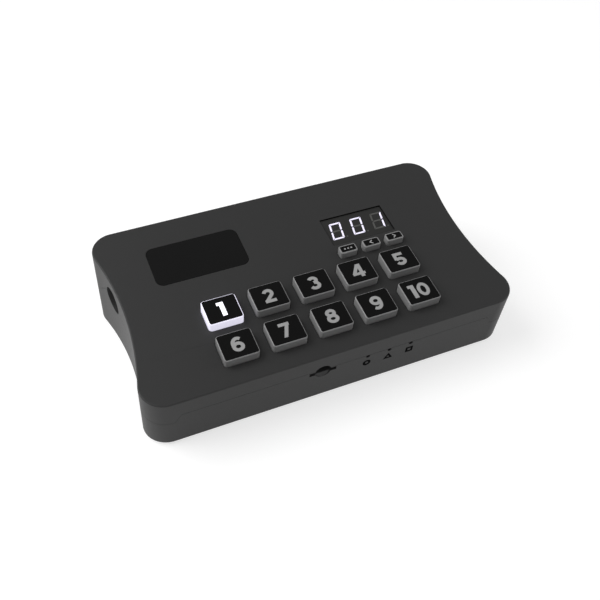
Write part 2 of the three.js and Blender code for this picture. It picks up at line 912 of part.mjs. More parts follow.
function outputInsert() {
  const floor = socketFrontY + socketBackWall + seatGap;
  const face = socketFaceY - insertSink;
  const body = barY(insertRadius, [0, socketZ], [floor, face], boreSides);
  const holes = [-1, 0, 1].map((turn) => {
    const angle = (turn * Math.PI) / 2 - Math.PI / 2;
    const x = contactCircle * Math.cos(angle);
    const z = socketZ + contactCircle * Math.sin(angle);
    return barY(contactHoleRadius, [x, z], [face - contactDepth, face + overrun], boltSides);
  });
  const keyway = block(
    [-keywayWidth / 2, keywayWidth / 2],
    [face - contactDepth, face + overrun],
    [socketZ + insertRadius - keywayDepth, socketZ + insertRadius + overrun],
  );
  return cutAway(body, [...holes, keyway]);
}

// Screws, modelled head down about their own axis, the head just clear of its seat

function screw(shankRadius, headRadius, headHeight, length, seat) {
  const head = barZ(headRadius, [0, 0], [seat - headHeight, seat - seatGap], boltSides);
  const shank = barZ(shankRadius, [0, 0], [seat - headHeight / 2, seat + length], boltSides);
  const recess = [seat - headHeight - overrun, seat - headHeight + recessDepth];
  const long = [-recessSpan / 2, recessSpan / 2];
  const narrow = [-recessWidth / 2, recessWidth / 2];
  return cutAway(head.add(shank), [block(long, narrow, recess), block(narrow, long, recess)]);
}

function caseScrew() {
  return screw(
    caseScrewRadius,
    caseScrewHeadRadius,
    caseScrewHeadHeight,
    caseScrewLength,
    headSeatZ,
  );
}

function boardScrew() {
  return screw(
    boardScrewRadius,
    boardScrewHeadRadius,
    boardScrewHeadHeight,
    boardScrewLength,
    boardBottom,
  );
}

// Foot about its own upright axis, its origin level with the underside of the case
function foot() {
  const top = footPocketDepth - seatGap;
  const profile = [
    [0, -footRise],
    [footRadius - footEdge, -footRise],
    [footRadius, footEdge - footRise],
    [footRadius, top],
    [0, top],
  ].map(([r, z]) => new THREE.Vector2(r, z));
  const turned = new THREE.LatheGeometry(profile, footSides);
  turned.rotateX(Math.PI / 2);
  return solidOf(turned);
}

// Finishes

function finish(color, roughness, metalness) {
  return new THREE.MeshStandardMaterial({ color, roughness, metalness });
}

const darkCase = finish("#383838", 0.55, 0);
const keyPlastic = finish("#6a6a6a", 0.4, 0);
const blackGloss = finish("#1b1b1b", 0.3, 0);
const smokedFilm = finish("#333333", 0.25, 0);
const boardGreen = finish("#1f4a33", 0.5, 0);
const blackPlastic = finish("#161616", 0.5, 0);
const platedSteel = finish("#a8a8a8", 0.35, 1);
const clearGuide = finish("#c9c9c9", 0.2, 0);
const rubber = finish("#202020", 0.85, 0);

// Assembly, with the top level

const lean = new THREE.Group();

function add(name, solid, material, [x, y] = [0, 0]) {
  const data = solid.getMesh();
  const geometry = new THREE.BufferGeometry();
  geometry.setAttribute("position", new THREE.BufferAttribute(data.vertProperties, 3));
  geometry.setIndex(new THREE.BufferAttribute(data.triVerts, 1));
  geometry.computeVertexNormals();
  const mesh = new THREE.Mesh(geometry, material.clone());
  mesh.name = name;
  mesh.position.set(x, y, 0);
  lean.add(mesh);
  return mesh;
}

function addCopies(name, solid, material, places) {
  return places.map((place, i) => add(`${name}_${i + 1}`, solid, material, place));
}

// Turns a foot upright once the whole is leant back, and moves it up to the slanted underside
function standUp(mesh) {
  mesh.position.z = undersideAt(mesh.position.y);
  mesh.rotation.x = -tilt;
}

add("top_shell", topShell(), darkCase);
add("bottom_shell", bottomShell(), darkCase);
add("badge_plate", badgePlate(), blackGloss);
add("display_lens", displayLens(), smokedFilm);
add("display_module", displayModule(), blackPlastic);
add("main_board", mainBoard(), boardGreen);
add("controller_chip", controllerChip(), blackPlastic);
add("card_socket", cardSocket(), platedSteel);
add("usb_socket", usbSocket(), platedSteel);
addCopies("status_light", statusLight(), clearGuide, lightPlaces.map((x) => [x, 0]));
addCopies("dmx_socket", outputSocket(), blackPlastic, socketPlaces.map((x) => [x, 0]));
addCopies("dmx_insert", outputInsert(), blackPlastic, socketPlaces.map((x) => [x, 0]));
addCopies("case_screw", caseScrew(), platedSteel, cornerBossPlaces);
addCopies("board_screw", boardScrew(), platedSteel, boardBossPlaces);
addCopies("foot", foot(), rubber, footPlaces).forEach(standUp);
addCopies("key", largeKey(), keyPlastic, keyPlaces);
addCopies("switch", tactSwitch(), blackPlastic, keyPlaces);
["bank", "prev", "next"].forEach((use, i) => {
  add(`key_${use}`, smallKey(), keyPlastic, smallKeyPlaces[i]);
  add(`switch_${use}`, tactSwitch(), blackPlastic, smallKeyPlaces[i]);
});

// The whole leant back on its feet, over the centre of its footprint

lean.rotation.x = tilt;
const reach = new THREE.Box3().setFromObject(lean, true);
const middle = reach.getCenter(new THREE.Vector3());
lean.position.set(-middle.x, -middle.y, -reach.min.z);

const group = new THREE.Group();
group.add(lean);

export default group;
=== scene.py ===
import json
import math

import bpy
from mathutils import Matrix, Vector


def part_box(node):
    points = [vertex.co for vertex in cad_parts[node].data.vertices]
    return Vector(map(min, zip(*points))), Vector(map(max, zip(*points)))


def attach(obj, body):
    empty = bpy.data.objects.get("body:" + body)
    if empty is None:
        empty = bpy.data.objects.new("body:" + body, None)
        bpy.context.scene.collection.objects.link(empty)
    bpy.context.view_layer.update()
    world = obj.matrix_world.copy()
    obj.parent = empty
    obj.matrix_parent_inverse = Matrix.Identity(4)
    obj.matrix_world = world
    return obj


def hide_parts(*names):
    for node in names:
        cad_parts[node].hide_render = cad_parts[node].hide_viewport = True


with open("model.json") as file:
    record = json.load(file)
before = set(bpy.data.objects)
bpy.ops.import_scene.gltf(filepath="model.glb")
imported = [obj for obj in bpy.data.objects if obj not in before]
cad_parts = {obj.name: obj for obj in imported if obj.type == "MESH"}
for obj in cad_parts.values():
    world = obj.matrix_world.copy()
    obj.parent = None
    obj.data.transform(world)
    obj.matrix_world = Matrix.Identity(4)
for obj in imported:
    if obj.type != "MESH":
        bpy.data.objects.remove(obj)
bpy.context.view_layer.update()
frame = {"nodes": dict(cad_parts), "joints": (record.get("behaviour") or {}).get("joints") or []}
toMetres = 0.001  # every piece is modelled in millimetres and then brought to metres
X, Y, Z = 0, 1, 2
near = 1e-4       # what counts as the same place
over = 4.0        # how far a cutter reaches past what it cuts
white = (1, 1, 1, 1)


# The case leans back on its feet. Its pieces are modelled with its top level and the middle of the
# board at y = 0, and leant back when they are finished.

def middle(low, high):
    return (low + high) / 2


def boxIn(place, name):
    points = [place @ vertex.co for vertex in frame["nodes"][name].data.vertices]
    low = Vector([min(point[i] for point in points) for i in (X, Y, Z)])
    high = Vector([max(point[i] for point in points) for i in (X, Y, Z)])
    return low, high


def numbered(name, count=4):
    return [f"{name}_{i}" for i in range(1, count + 1)]


pressAxis = next(joint["axis"] for joint in frame["joints"] if joint["child"] == "key_1")
tilt = math.atan2(pressAxis[1], -pressAxis[2])
toLevel = Matrix.Rotation(-tilt, 4, "X") @ Matrix.Scale(1 / toMetres, 4)
boardMiddle = middle(*boxIn(toLevel, "main_board")).y
toLevel = Matrix.Translation((0, -boardMiddle, 0)) @ toLevel
leantBack = toLevel.inverted()
nodeBox = {name: boxIn(toLevel, name) for name in frame["nodes"]}
nodeMiddle = {name: middle(*box) for name, box in nodeBox.items()}
keyNames = numbered("key", 10)
smallKeyNames = ["key_bank", "key_prev", "key_next"]
lightNames = numbered("status_light", 3)


# Selecting, cutting and finishing, shared by all the pieces

finish = {
    "smoothDegrees": 35,      # faces that meet at less are shaded as one
    "sharpDegrees": 40,       # edges sharper than this get the mould's small round
}


def deselectAll():
    bpy.ops.object.select_all(action="DESELECT")


def makeActive(piece):
    deselectAll()
    piece.select_set(True)
    bpy.context.view_layer.objects.active = piece


def newObject(name, data):
    made = bpy.data.objects.new(name, data)
    bpy.context.scene.collection.objects.link(made)
    return made


def nameActive(name):
    piece = bpy.context.object
    piece.name = name
    piece.data.name = name
    return piece


def enterEdit(kind=None):
    # goes into edit mode with everything selected
    bpy.ops.object.mode_set(mode="EDIT")
    if kind:
        bpy.ops.mesh.select_mode(type=kind)
    bpy.ops.mesh.select_all(action="SELECT")


def leaveEdit():
    bpy.ops.object.mode_set(mode="OBJECT")


def editEdges(piece, wanted):
    # goes into edit mode with the edges that the test picks
    makeActive(piece)
    bpy.ops.object.mode_set(mode="EDIT")
    bpy.ops.mesh.select_mode(type="EDGE")
    bpy.ops.mesh.select_all(action="DESELECT")
    leaveEdit()
    mesh = piece.data
    for edge in mesh.edges:
        edge.select = wanted(*(mesh.vertices[i].co for i in edge.vertices))
    bpy.ops.object.mode_set(mode="EDIT")


def bevelEdges(piece, wanted, offset, segments):
    editEdges(piece, wanted)
    bpy.ops.mesh.bevel(offset=offset, segments=segments, affect="EDGES", clamp_overlap=True)
    leaveEdit()


def along(axis):
    return lambda a, b: all(abs(a[i] - b[i]) < near for i in (X, Y, Z) if i != axis)


def atLevel(axis, value):
    return lambda a, b: abs(a[axis] - value) < near and abs(b[axis] - value) < near


def applySize():
    bpy.ops.object.transform_apply(location=True, rotation=True, scale=True)


def addBlock(name, low, high):
    deselectAll()
    low, high = Vector(low), Vector(high)
    bpy.ops.mesh.primitive_cube_add(size=1, location=middle(low, high), scale=high - low)
    applySize()
    return nameActive(name)


def blockOver(name, node, grow, bottom, top, corner=0, segments=6):
    # a block over a node's plan, wider by grow on each side, its upright edges rounded
    low, high = nodeBox[node]
    piece = addBlock(name, (low.x - grow, low.y - grow, bottom), (high.x + grow, high.y + grow, top))
    if corner:
        bevelEdges(piece, along(Z), corner, segments)
    return piece


def addBar(name, radius, centre, axis, low, high, sides=48):
    # a round bar through centre, from low to high along the axis
    deselectAll()
    start, end = Vector(centre), Vector(centre)
    start[axis], end[axis] = low, high
    turn = (end - start).to_track_quat("Z", "Y").to_euler()
    bpy.ops.mesh.primitive_cylinder_add(
        vertices=sides, radius=radius, depth=(end - start).length,
        location=middle(start, end), rotation=turn)
    applySize()
    return nameActive(name)


def flatSolid(name, outlines, thickness, place):
    # outlines filled by the even-odd rule, given a thickness about z 0 and then placed
    sheet = bpy.data.curves.new(name, "CURVE")
    sheet.dimensions = "2D"
    sheet.fill_mode = "BOTH"
    sheet.extrude = thickness / 2
    for outline in outlines:
        spline = sheet.splines.new("POLY")
        spline.points.add(len(outline) - 1)
        for point, (u, v) in zip(spline.points, outline):
            point.co = (u, v, 0, 1)
        spline.use_cyclic_u = True
    makeActive(newObject(name, sheet))
    bpy.ops.object.convert(target="MESH")
    piece = bpy.context.object
    piece.data.transform(place)
    enterEdit()
    bpy.ops.mesh.remove_doubles(threshold=near / 10)
    bpy.ops.mesh.normals_make_consistent(inside=False)
    leaveEdit()
    return piece


def slab(name, points, low, high, axis):
    # a flat outline with its thickness along X, drawn in Y and Z, or along Y, drawn in X and Z
    turns = {X: ((0, 0, 1), (1, 0, 0), (0, 1, 0)), Y: ((1, 0, 0), (0, 0, -1), (0, 1, 0))}
    place = Matrix(turns[axis]).to_4x4()
    place[axis][3] = middle(low, high)
    return flatSolid(name, [points], high - low, place)


def flatPiece(name, outlines, thickness):
    return flatSolid(name, outlines, thickness, Matrix.Translation((0, 0, thickness / 2)))


def modify(piece, kind, settings):
    makeActive(piece)
    modifier = piece.modifiers.new(kind, kind)
    for name, value in settings.items():
        setattr(modifier, name, value)
    bpy.ops.object.modifier_apply(modifier=modifier.name)


def combine(target, tool, how):
    modify(target, "BOOLEAN", {"operation": how, "solver": "EXACT", "object": tool})
    bpy.data.objects.remove(tool)
    return target


def cutEach(body, cutters):
    for cutter in cutters:
        combine(body, cutter, "DIFFERENCE")


def joinAll(pieces, name):
    deselectAll()
    for piece in pieces:
        piece.select_set(True)
    bpy.context.view_layer.objects.active = pieces[0]
    if len(pieces) > 1:
        bpy.ops.object.join()
    return nameActive(name)


def moveBy(piece, shift):
    piece.data.transform(Matrix.Translation(shift))


def copyOf(piece, name, shift=(0, 0, 0)):
    twin = newObject(name, piece.data.copy())
    twin.data.name = name
    moveBy(twin, shift)
    return twin


def breakEdges(piece, width):
    # the small round that a mould leaves on each sharp edge
    modify(piece, "BEVEL", {"width": width, "segments": 2, "limit_method": "ANGLE",
                            "angle_limit": math.radians(finish["sharpDegrees"])})


def finishPiece(piece, material, body, replaced=(), place=leantBack):
    piece.data.transform(place)
    makeActive(piece)
    bpy.ops.object.shade_smooth_by_angle(angle=math.radians(finish["smoothDegrees"]))
    modify(piece, "WEIGHTED_NORMAL", {"keep_sharp": True})
    piece.data.materials.clear()
    piece.data.materials.append(materials[material])
    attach(piece, body)
    for node in replaced:
        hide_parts(node)


def finishCopies(piece, nodeOf, material, boxOf=nodeBox.get, place=leantBack):
    # the piece stands at its first node, and nodeOf names each copy and the node that it replaces
    first = boxOf(next(iter(nodeOf.values())))[0]
    for name, node in nodeOf.items():
        twin = copyOf(piece, name, boxOf(node)[0] - first)
        finishPiece(twin, material, "case", [node], place)
    bpy.data.objects.remove(piece)


# Materials, each under the name of the real one: two close shades in clouds, and a fine grain that
# makes the gloss and the relief uneven. A row has both shades, the size of the clouds and of the
# grain in millimetres, roughness and its spread, relief, and what differs from plain plastic

looks = {
    # spark-eroded black ABS: a soft, even sheen with no sharp reflections
    "mouldedBlackAbs": (("#2b2b2b", "#2d2d2d"), 25.0, 0.35, 0.5, 0.05, 0.08, {"specular": 0.3}),
    # frosted polycarbonate, unlit: a milky grey body
    "frostedPolycarbonate": (("#828282", "#888888"), 4.0, 0.25, 0.42, 0.05, 0.05),
    # the same plastic with a cool white diode behind it
    "litPolycarbonate": (("#d6d4e0", "#dad8e4"), 4.0, 0.25, 0.42, 0.05, 0.05,
        {"glow": "#ece9fc", "glowStrength": 0.65}),
    # black two-part paint on the key's top: deeper than the case, with less shine
    "blackKeyPaint": (("#050505", "#080808"), 5.0, 0.2, 0.55, 0.05, 0.04, {"specular": 0.1}),
    # the number where the paint was lasered away and the frosted plastic shows
    "laseredNumber": (("#9a9a9a", "#a0a0a0"), 3.0, 0.2, 0.45, 0.04, 0.04),
    # the same over the diode
    "litLaseredNumber": (("#e8e8ee", "#f0f0f4"), 3.0, 0.2, 0.45, 0.04, 0.04,
        {"glow": "#f4f2ff", "glowStrength": 0.9}),
    # black acrylic plate: smooth, so it mirrors the room faintly
    "blackAcrylic": (("#0c0c0c", "#0f0f0f"), 12.0, 0.6, 0.25, 0.03, 0.01, {"ior": 1.49, "specular": 0.17}),
    # polyester film with a matt smoke tint over the digits
    "smokedFilm": (("#222221", "#252524"), 8.0, 0.3, 0.4, 0.04, 0.02, {"specular": 0.35}),
    # an unlit segment seen through the film
    "unlitSegment": (("#4c4c4a", "#51514f"), 3.0, 0.3, 0.4, 0.04, 0.02),
    # a lit segment seen through the film
    "litSegment": (("#d8d6e2", "#dedce8"), 3.0, 0.3, 0.4, 0.04, 0.02,
        {"glow": "#e6e0ff", "glowStrength": 0.55}),
    # black foam strip between film and case, a dark sheet that paints the shade on the window's recess
    # wall: takes nearly all light
    "paintedShadeFoam": (("#070707", "#0b0b0b"), 1.0, 0.15, 0.9, 0.05, 0.3, {"specular": 0.1}),
    # thin black tampon print on the front wall
    "blackPadPrint": (("#060606", "#0a0a0a"), 2.0, 0.2, 0.85, 0.05, 0.04, {"specular": 0.02}),
    # glass-filled nylon of the sockets and switches: darker and duller than the case
    "glassFilledNylon": (("#171717", "#1c1c1c"), 5.0, 0.25, 0.45, 0.08, 0.15, {"ior": 1.53}),
    # bright nickel on pressed steel, with faint rolling marks
    "nickelPlatedSteel": (("#b9b6b0", "#a7a49e"), 2.0, 0.15, 0.28, 0.08, 0.05, {"metallic": 1.0}),
    # thin gold on the contacts
    "goldFlashedBrass": (("#d8b45c", "#c9a24c"), 1.0, 0.1, 0.25, 0.05, 0.03, {"metallic": 1.0}),
    # black oxide on the screws and the card socket: dark, oily metal
    "blackOxideSteel": (("#3a3a3c", "#2c2c2e"), 1.5, 0.15, 0.38, 0.1, 0.08, {"metallic": 1.0}),
    # die-cut neoprene: no shine, slightly dusty
    "blackNeoprene": (("#1b1b1b", "#222221"), 2.5, 0.3, 0.85, 0.07, 0.3, {"specular": 0.3}),
    # green lacquer over glass laminate, whose weave shows a little
    "greenSolderMask": (("#12402a", "#174a31"), 1.2, 0.5, 0.35, 0.06, 0.12),
    # smoked acrylic light guide, unlit: a black dot
    "smokedAcrylicGuide": (("#050505", "#080808"), 0.8, 0.2, 0.6, 0.03, 0.01,
        {"ior": 1.49, "specular": 0.02}),
}


def linearColour(hexText):
    channels = [int(hexText[i:i + 2], 16) / 255 for i in (1, 3, 5)]
    linear = [c / 12.92 if c <= 0.04045 else ((c + 0.055) / 1.055) ** 2.4 for c in channels]
    return (*linear, 1.0)


def addNode(tree, kind, settings=None, inputs=None, links=None):
    node = tree.nodes.new(kind)
    for name, value in (settings or {}).items():
        setattr(node, name, value)
    for socket, value in (inputs or {}).items():
        node.inputs[socket].default_value = value
    for socket, source in (links or {}).items():
        tree.links.new(source, node.inputs[socket])
    return node


def emptyTree(owner):
    owner.use_nodes = True
    owner.node_tree.nodes.clear()
    return owner.node_tree


def grainMaterial(name, shades, cloudMm, grainMm, roughness, spread, relief, special=None):
    special = special or {}
    material = bpy.data.materials.new(name)
    tree = emptyTree(material)
    place = addNode(tree, "ShaderNodeTexCoord").outputs["Object"]
    cloud, grain = (
        addNode(tree, "ShaderNodeTexNoise", inputs={"Scale": 1 / (size * toMetres), "Detail": detail},
                links={"Vector": place}).outputs["Fac"]
        for size, detail in ((cloudMm, 3.0), (grainMm, 2.0)))
    first, second = (linearColour(shade) for shade in shades)
    colour = addNode(tree, "ShaderNodeMix", {"data_type": "RGBA"}, {6: first, 7: second},
                     {"Factor": cloud})
    gloss = addNode(tree, "ShaderNodeMapRange",
                    inputs={"To Min": roughness - spread, "To Max": roughness + spread},
                    links={"Value": grain})
    relief = addNode(tree, "ShaderNodeBump",
                     inputs={"Strength": relief, "Distance": grainMm * toMetres},
                     links={"Height": grain})
    values = {"IOR": special.get("ior", 1.5), "Metallic": special.get("metallic", 0.0),
              "Specular IOR Level": special.get("specular", 0.5)}
    if "glow" in special:
        values["Emission Color"] = linearColour(special["glow"])
        values["Emission Strength"] = special["glowStrength"]
    shader = addNode(tree, "ShaderNodeBsdfPrincipled", inputs=values,
                     links={"Base Color": colour.outputs[2], "Roughness": gloss.outputs["Result"],
                            "Normal": relief.outputs["Normal"]})
    addNode(tree, "ShaderNodeOutputMaterial", links={"Surface": shader.outputs["BSDF"]})
    return material


print("materials")
materials = {name: grainMaterial(name, *look) for name, look in looks.items()}


# Camera: the photograph's own place and angle, worked out from the key grid

camera = {
    "place": (-99.46, -168.283, 246.891),  # from the middle of the keys' tops, with these level
    "right": (0.920217, -0.384984, 0.070629),
    "up": (0.264497, 0.744647, 0.612815),
    "forward": (0.288517, 0.545241, -0.787064),
    "focalMm": 46.507,
    "sensorMm": 36.0,
    "clip": (0.01, 20.0),
}


def addCamera():
    data = bpy.data.cameras.new("photoCamera")
    data.sensor_fit = "HORIZONTAL"
    data.sensor_width = camera["sensorMm"]
    data.lens = camera["focalMm"]
    data.clip_start, data.clip_end = camera["clip"]
    holder = newObject("photoCamera", data)
    low, high = nodeBox["key_3"]
    keysMiddle = middle(high, nodeBox["key_8"][1])
    keysMiddle -= Vector((0, high.y - low.y, 0)) / 2
    keysMiddle.x = 0
    axes = Matrix((camera["right"], camera["up"], [-v for v in camera["forward"]])).transposed()
    turn = leantBack.to_quaternion().to_matrix() @ axes
    place = leantBack @ (keysMiddle + Vector(camera["place"]))
    holder.matrix_world = Matrix.Translation(place) @ turn.to_4x4()
    bpy.context.scene.camera = holder


# Room: a pale floor and low white walls, a dim ceiling and soft lamps, the stronger one at the left

room = {
    "floorSize": 6.0,
    "floorHex": "#b6b6b6",
    "floorLift": 0.65,        # white added to what is seen of the floor, so its far part is pure white
    "fillStrength": 0.3,      # the light that comes from all round
    "wallStrength": 1.0,
    "ceilingStrength": 0.42,
    "wallTop": 0.12,          # sine of the height at which the walls start to darken
    "ceilingStart": 0.38,
    "lamps": [
        # name, place in metres, size in metres, watts. All aim at the part
        ("leftLamp", (-0.80, 0.32, 0.92), 1.0, 13.0),
        ("frontLamp", (-0.25, -0.9, 0.75), 0.6, 1.1),
        ("rightLamp", (0.95, -0.30, 0.40), 0.5, 2.2),
    ],
}


def seenDirectly(tree):
    # 1 for what the camera sees straight, in a gloss or through glass
    path = addNode(tree, "ShaderNodeLightPath")
    first = addNode(tree, "ShaderNodeMath", {"operation": "ADD"},
                    links={0: path.outputs["Is Camera Ray"], 1: path.outputs["Is Glossy Ray"]})
    both = addNode(tree, "ShaderNodeMath", {"operation": "ADD", "use_clamp": True},
                   links={0: first.outputs[0], 1: path.outputs["Is Transmission Ray"]})
    return both.outputs[0]


def addFloor():
    deselectAll()
    bpy.ops.mesh.primitive_plane_add(size=room["floorSize"], location=(0, 0, 0))
    floor = nameActive("floor")
    material = bpy.data.materials.new("whitePaper")
    tree = emptyTree(material)
    paper = addNode(tree, "ShaderNodeBsdfDiffuse", inputs={"Color": linearColour(room["floorHex"])})
    strength = addNode(tree, "ShaderNodeMath", {"operation": "MULTIPLY"}, {1: room["floorLift"]},
                       {0: seenDirectly(tree)})
    lift = addNode(tree, "ShaderNodeEmission", inputs={"Color": white},
                   links={"Strength": strength.outputs[0]})
    both = addNode(tree, "ShaderNodeAddShader", links={0: paper.outputs[0], 1: lift.outputs[0]})
    addNode(tree, "ShaderNodeOutputMaterial", links={"Surface": both.outputs[0]})
    floor.data.materials.append(material)


def addSky():
    world = bpy.data.worlds.new("paleRoom")
    bpy.context.scene.world = world
    tree = emptyTree(world)
    towards = addNode(tree, "ShaderNodeTexCoord").outputs["Generated"]
    height = addNode(tree, "ShaderNodeSeparateXYZ", links={"Vector": towards})
    walls = addNode(tree, "ShaderNodeMapRange", {"interpolation_type": "SMOOTHSTEP"},
                    {"From Min": room["wallTop"], "From Max": room["ceilingStart"],
                     "To Min": room["wallStrength"], "To Max": room["ceilingStrength"]},
                    {"Value": height.outputs["Z"]})
    light = addNode(tree, "ShaderNodeMapRange", inputs={"To Min": room["fillStrength"]},
                    links={"Value": seenDirectly(tree), "To Max": walls.outputs["Result"]})
    sky = addNode(tree, "ShaderNodeBackground", inputs={"Color": white},
                  links={"Strength": light.outputs["Result"]})
    addNode(tree, "ShaderNodeOutputWorld", links={"Surface": sky.outputs[0]})


def addLamps():
    for name, place, size, watts in room["lamps"]:
        data = bpy.data.lights.new(name, "AREA")
        data.shape = "SQUARE"
        data.size = size
        data.energy = watts
        lamp = newObject(name, data)
        lamp.location = place
        lamp.rotation_euler = (-Vector(place)).to_track_quat("-Z", "Y").to_euler()


# Case: two moulded shells with drawn-in sides

case = {
    "halfWidth": 80.9,        # along the top
    "halfDepth": 45.1,
    "draft": 0.01396,         # spread of the walls for each millimetre below the top
    "waistDepth": 4.4,        # how far each side is drawn in
    "cornerRadius": 9.8,
    "cornerSteps": 20,
    "sideSteps": 36,
    "wall": 2.4,
    "topWall": 2.4,
    "floorWall": 2.2,
    "topRound": 0.6,
    "bottomRound": 0.8,
    "roundSegments": 5,
    "edge": 0.1,              # small round on the other edges
    "deep": 10.0,             # how far the walls go on down before the underside cuts them off
    "seamGap": 0.14,
    "seamDrop": 1.6,          # of the parting line below the board's top
    "crestRise": 3.4,         # of its step behind the well's mouth
    "lipInset": 1.3,
    "lipRise": 1.4,
    "lipGap": 0.15,
    "tongueShoulder": 13.1,   # from the case's side to the level top of the front tongue
    "tongueSlope": 2.4,
    "tongueCover": 0.5,       # above the card slot
    "topCut": 3.0,            # reach of the cutters above and below the top
    "keyClearance": 0.3,
    "slotWidth": 11.8,
    "slotHeight": 1.9,
    "slotRise": 0.4,          # above the board's top, as the next two
    "lightRise": 2.05,
    "notchRise": 1.6,
    "notchRadius": 3.5,
    "notchScoop": 0.9,
    "lightHole": 0.92,
    "frontCut": 5.0,          # depth of the slot and the light holes
    "wellRadius": 6.1,
    "wellWall": 1.6,
    "wellFloor": 0.5,         # of the well, and then of its tube, past the mouth of the socket
    "wellEnd": 1.7,
    "noseClearance": 0.3,
    "ribHalf": 0.6,
    "ribRise": 3.2,           # above the board's top
    "ribSink": 1.2,           # into the top wall
}

boss = {
    "gap": 0.3,
    "caseRadius": 3.6,
    "boardRadius": 2.8,
    "lowerRadius": 4.2,
    "seatRise": 1.8,          # from the screw's head to its seat
    "jointRise": 4.4,         # from the seat to where the upper boss meets the lower
    "headHole": 3.0,
    "shankHole": 1.7,
    "casePilot": (1.57, 9.0),     # radius and depth
    "boardPilot": (1.32, 8.0),
    "floorGap": 0.3,          # keeps the lower boss inside the case
}

caseTop = nodeBox["top_shell"][1].z
frontY, backY = -case["halfDepth"], case["halfDepth"]
boardLow, boardHigh = nodeBox["main_board"]
slotBottom = boardHigh.z + case["slotRise"]
lightZ = boardHigh.z + case["lightRise"]
notchZ = boardHigh.z + case["notchRise"]
tongueZ = slotBottom + case["slotHeight"] + case["tongueCover"]
seamZ = boardHigh.z - case["seamDrop"]
crestZ = seamZ + case["crestRise"]
rearSeamZ = nodeMiddle["dmx_socket_1"].z
screwSeatZ = nodeBox["case_screw_1"][0].z + boss["seatRise"]
jointZ = screwSeatZ + boss["jointRise"]
usbLow, usbHigh = nodeBox["usb_socket"]
usbMiddle = nodeMiddle["usb_socket"]
slotX = nodeMiddle["card_socket"].x
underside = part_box("bottom_shell")[0].z / toMetres / math.cos(tilt) - math.tan(tilt) * boardMiddle


def undersideAt(y):
    return underside - math.tan(tilt) * y


def alongUnderside(a, b):
    return all(abs(p.z - undersideAt(p.y)) < 10 * near for p in (a, b))


def wallY(z):
    return frontY - case["draft"] * (caseTop - z)


deepZ = undersideAt(backY) - case["deep"]


def spinRun(centre, degrees, steps):
    # carries the selected vertex round a centre: with no window, spin turns the other way
    bpy.ops.mesh.spin(
        steps=steps, angle=-math.radians(degrees), center=(*centre, 0.0), axis=(0, 0, 1))


def caseLoop(name, inset, z):
    # the case's plan as one closed line: round corners, sides that sweep in along one large arc
    corner = case["cornerRadius"]
    cornerX, cornerY = case["halfWidth"] - corner, case["halfDepth"] - corner
    run = corner - case["waistDepth"]
    sideRadius = (run ** 2 + cornerY ** 2 - corner ** 2) / (2 * case["waistDepth"])
    sideCentreX = case["halfWidth"] - case["waistDepth"] + sideRadius
    lean = math.degrees(math.atan2(cornerY, sideCentreX - cornerX))
    deselectAll()
    bpy.ops.mesh.primitive_plane_add(size=1, location=(0, 0, z))
    enterEdit("VERT")
    bpy.ops.mesh.merge(type="CENTER")
    bpy.ops.transform.translate(value=(-cornerX, frontY + inset, 0))
    leaveEdit()
    applySize()
    enterEdit()
    for side in (1, -1):
        bpy.ops.mesh.extrude_region_move(
            TRANSFORM_OT_translate={"value": (side * 2 * cornerX, 0, 0)})
        spinRun((side * cornerX, -side * cornerY), 90 + lean, case["cornerSteps"])
        spinRun((side * sideCentreX, 0), -2 * lean, case["sideSteps"])
        spinRun((side * cornerX, side * cornerY), 90 + lean, case["cornerSteps"])
    bpy.ops.mesh.select_all(action="SELECT")
    bpy.ops.mesh.remove_doubles(threshold=0.01)
    leaveEdit()
    return nameActive(name)


def caseSolid(name, inset, top, floor=0.0):
    # the drafted walls between two plans, cut off along the slanted underside or a floor above it
    loops = [caseLoop(name, inset - case["draft"] * (caseTop - z), z) for z in (deepZ, top)]
    piece = joinAll(loops, name)
    enterEdit()
    bpy.ops.mesh.bridge_edge_loops()
    leaveEdit()
    for z in (deepZ, top):
        editEdges(piece, atLevel(Z, z))
        bpy.ops.mesh.edge_face_add()
        leaveEdit()
    enterEdit()
    bpy.ops.mesh.normals_make_consistent(inside=False)
    bpy.ops.mesh.bisect(plane_co=(0, 0, undersideAt(0) + floor),
                        plane_no=(0, math.sin(tilt), math.cos(tilt)),
                        use_fill=True, clear_inner=True)
    leaveEdit()
    return piece


def underSeam(lift):
    # all that lies under the parting line: it steps up behind the well's mouth, falls to the middle
    # of the output sockets, and rises in a tongue in the front wall
    far = case["halfWidth"] * 2
    start = usbMiddle.y + case["wellRadius"]
    step = crestZ - seamZ
    sides = slab("underSeam", [
        (-far, -far), (far, -far), (far, rearSeamZ + lift),
        (start + crestZ - rearSeamZ, rearSeamZ + lift), (start, crestZ + lift),
        (start - step, crestZ + lift), (start - 2 * step, seamZ + lift),
        (-far, seamZ + lift)], -far, far, X)
    shoulder = case["halfWidth"] - case["tongueShoulder"]
    foot = shoulder + case["tongueSlope"]
    tongue = slab("tongue", [
        (-foot, seamZ - over), (foot, seamZ - over), (foot, seamZ + lift),
        (shoulder, tongueZ + lift), (-shoulder, tongueZ + lift), (-foot, seamZ + lift)],
        -far, frontY + case["cornerRadius"], Y)
    return combine(sides, tongue, "UNION")


def lowerRegion(lift, inset, rise):
    lip = caseSolid("lip", inset, caseTop)
    combine(lip, underSeam(rise), "INTERSECT")
    return combine(underSeam(lift), lip, "UNION")


def hollowCase(name):
    body = caseSolid(name, 0, caseTop)
    bevelEdges(body, atLevel(Z, caseTop), case["topRound"], case["roundSegments"])
    bevelEdges(body, alongUnderside, case["bottomRound"], case["roundSegments"])
    tube = addBar("wellTube", case["wellRadius"] + case["wellWall"], usbMiddle, X,
                  -case["halfWidth"] - over, usbLow.x + case["wellEnd"], 64)
    combine(tube, copyOf(body, "outside"), "INTERSECT")
    inside = caseSolid("inside", case["wall"], caseTop - case["topWall"], case["floorWall"])
    combine(body, inside, "DIFFERENCE")
    return combine(body, tube, "UNION")


